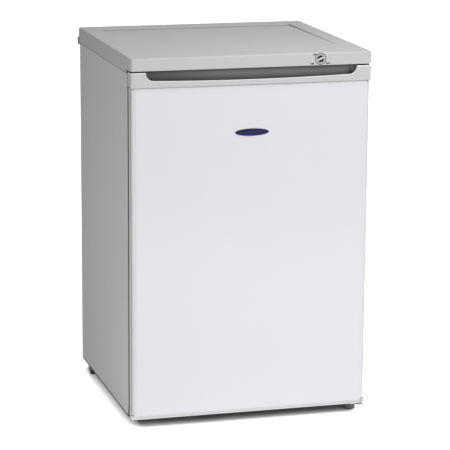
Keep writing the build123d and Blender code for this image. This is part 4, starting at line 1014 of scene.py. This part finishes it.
def floor_bounce(surface):
    """The share of light that the floor throws back: most near the object's shade and less far from it."""
    runs = []
    for axis, low, high in (
        ("X", shadow_middle - shadow_half_width, shadow_middle + shadow_half_width),
        ("Y", shadow_front, shadow_rear),
    ):
        offset = surface.beside(axis, (low + high) / 2)
        runs.append(surface.combine(surface.combine(offset, (low - high) / 2, "ADD"), 0.0, "MAXIMUM"))
    return surface.fit(surface.length(*runs), floor_near, floor_far, floor_bounce_near, floor_bounce_far)


def floor_tone(surface):
    """How bright the floor is where the camera sees it: a painted shadow, dark under the object and white
    outside, over the real one.
    """
    sideways = surface.beside("X", shadow_middle)
    depth = surface.along("Y")
    beside = surface.fit(sideways, shadow_half_width, shadow_half_width + shadow_side_fade)
    behind = surface.fit(depth, shadow_rear, shadow_rear + shadow_side_fade)
    before = surface.fit(depth, shadow_front, shadow_front - shadow_front_fade)
    before = surface.combine(before, shadow_front_curve, "POWER")
    outside = surface.combine(surface.combine(beside, behind, "ADD"), before, "ADD")
    return surface.fit(outside, 0.0, 1.0, floor_shadow_tone, floor_white)


def set_floor():
    """A wide pale floor that shows as white where it is lit; under the object its real shadow is deepened
    by a painted shadow in the colour that the camera sees.
    """
    form = bmesh.new()
    bmesh.ops.create_grid(form, x_segments=1, y_segments=1, size=floor_reach)
    mesh = bpy.data.meshes.new("floor")
    form.to_mesh(mesh)
    form.free()
    floor = bpy.data.objects.new("floor", mesh)
    bpy.context.scene.collection.objects.link(floor)
    surface = Surface("floor", (1.0, 1.0, 1.0), 1.0)
    tree = surface.tree
    path = surface.node("ShaderNodeLightPath")
    unseen = chosen(tree, floor_bounce(surface), floor_mirrored, mirrored_rays(tree, path))
    tone = chosen(tree, unseen, floor_tone(surface), path.outputs["Is Camera Ray"])
    joined = surface.node("ShaderNodeCombineColor")
    for socket in joined.inputs:
        surface.link(tone, socket)
    diffuse = surface.node("ShaderNodeBsdfDiffuse")
    surface.link(joined.outputs["Color"], diffuse.inputs["Color"])
    surface.link(diffuse.outputs["BSDF"], tree.nodes["Material Output"].inputs["Surface"])
    tree.nodes.remove(surface.shader)
    mesh.materials.append(surface.material)


def set_lamps():
    """Soft lamps: in front on the right, overhead, and two low weak ones for the door and the side."""
    for name, lamp in lamps.items():
        away = Vector(lamp["place"]) - Vector(lamp["aim"])
        data = bpy.data.lights.new(name, "AREA")
        data.shape = "RECTANGLE"
        data.size, data.size_y = lamp["size"]
        data.energy = lamp["level"] * math.pi ** 2 * away.length_squared
        light = bpy.data.objects.new(name, data)
        light.location = lamp["place"]
        light.rotation_euler = away.to_track_quat("Z", "Y").to_euler()
        light.visible_camera = False
        bpy.context.scene.collection.objects.link(light)


set_camera()
shade_door_folds()
mark_door_gap()
mark_bottom_cap()
mark_pocket_shade()
shade_rail_ends()
highlight_rail_lip()
mark_skirt_line()
dress_nodes()
make_dial()
make_words()
make_badge()
make_gasket()
make_screws()
set_world()
set_floor()
set_lamps()
bpy.context.scene.view_settings.view_transform = "Standard"
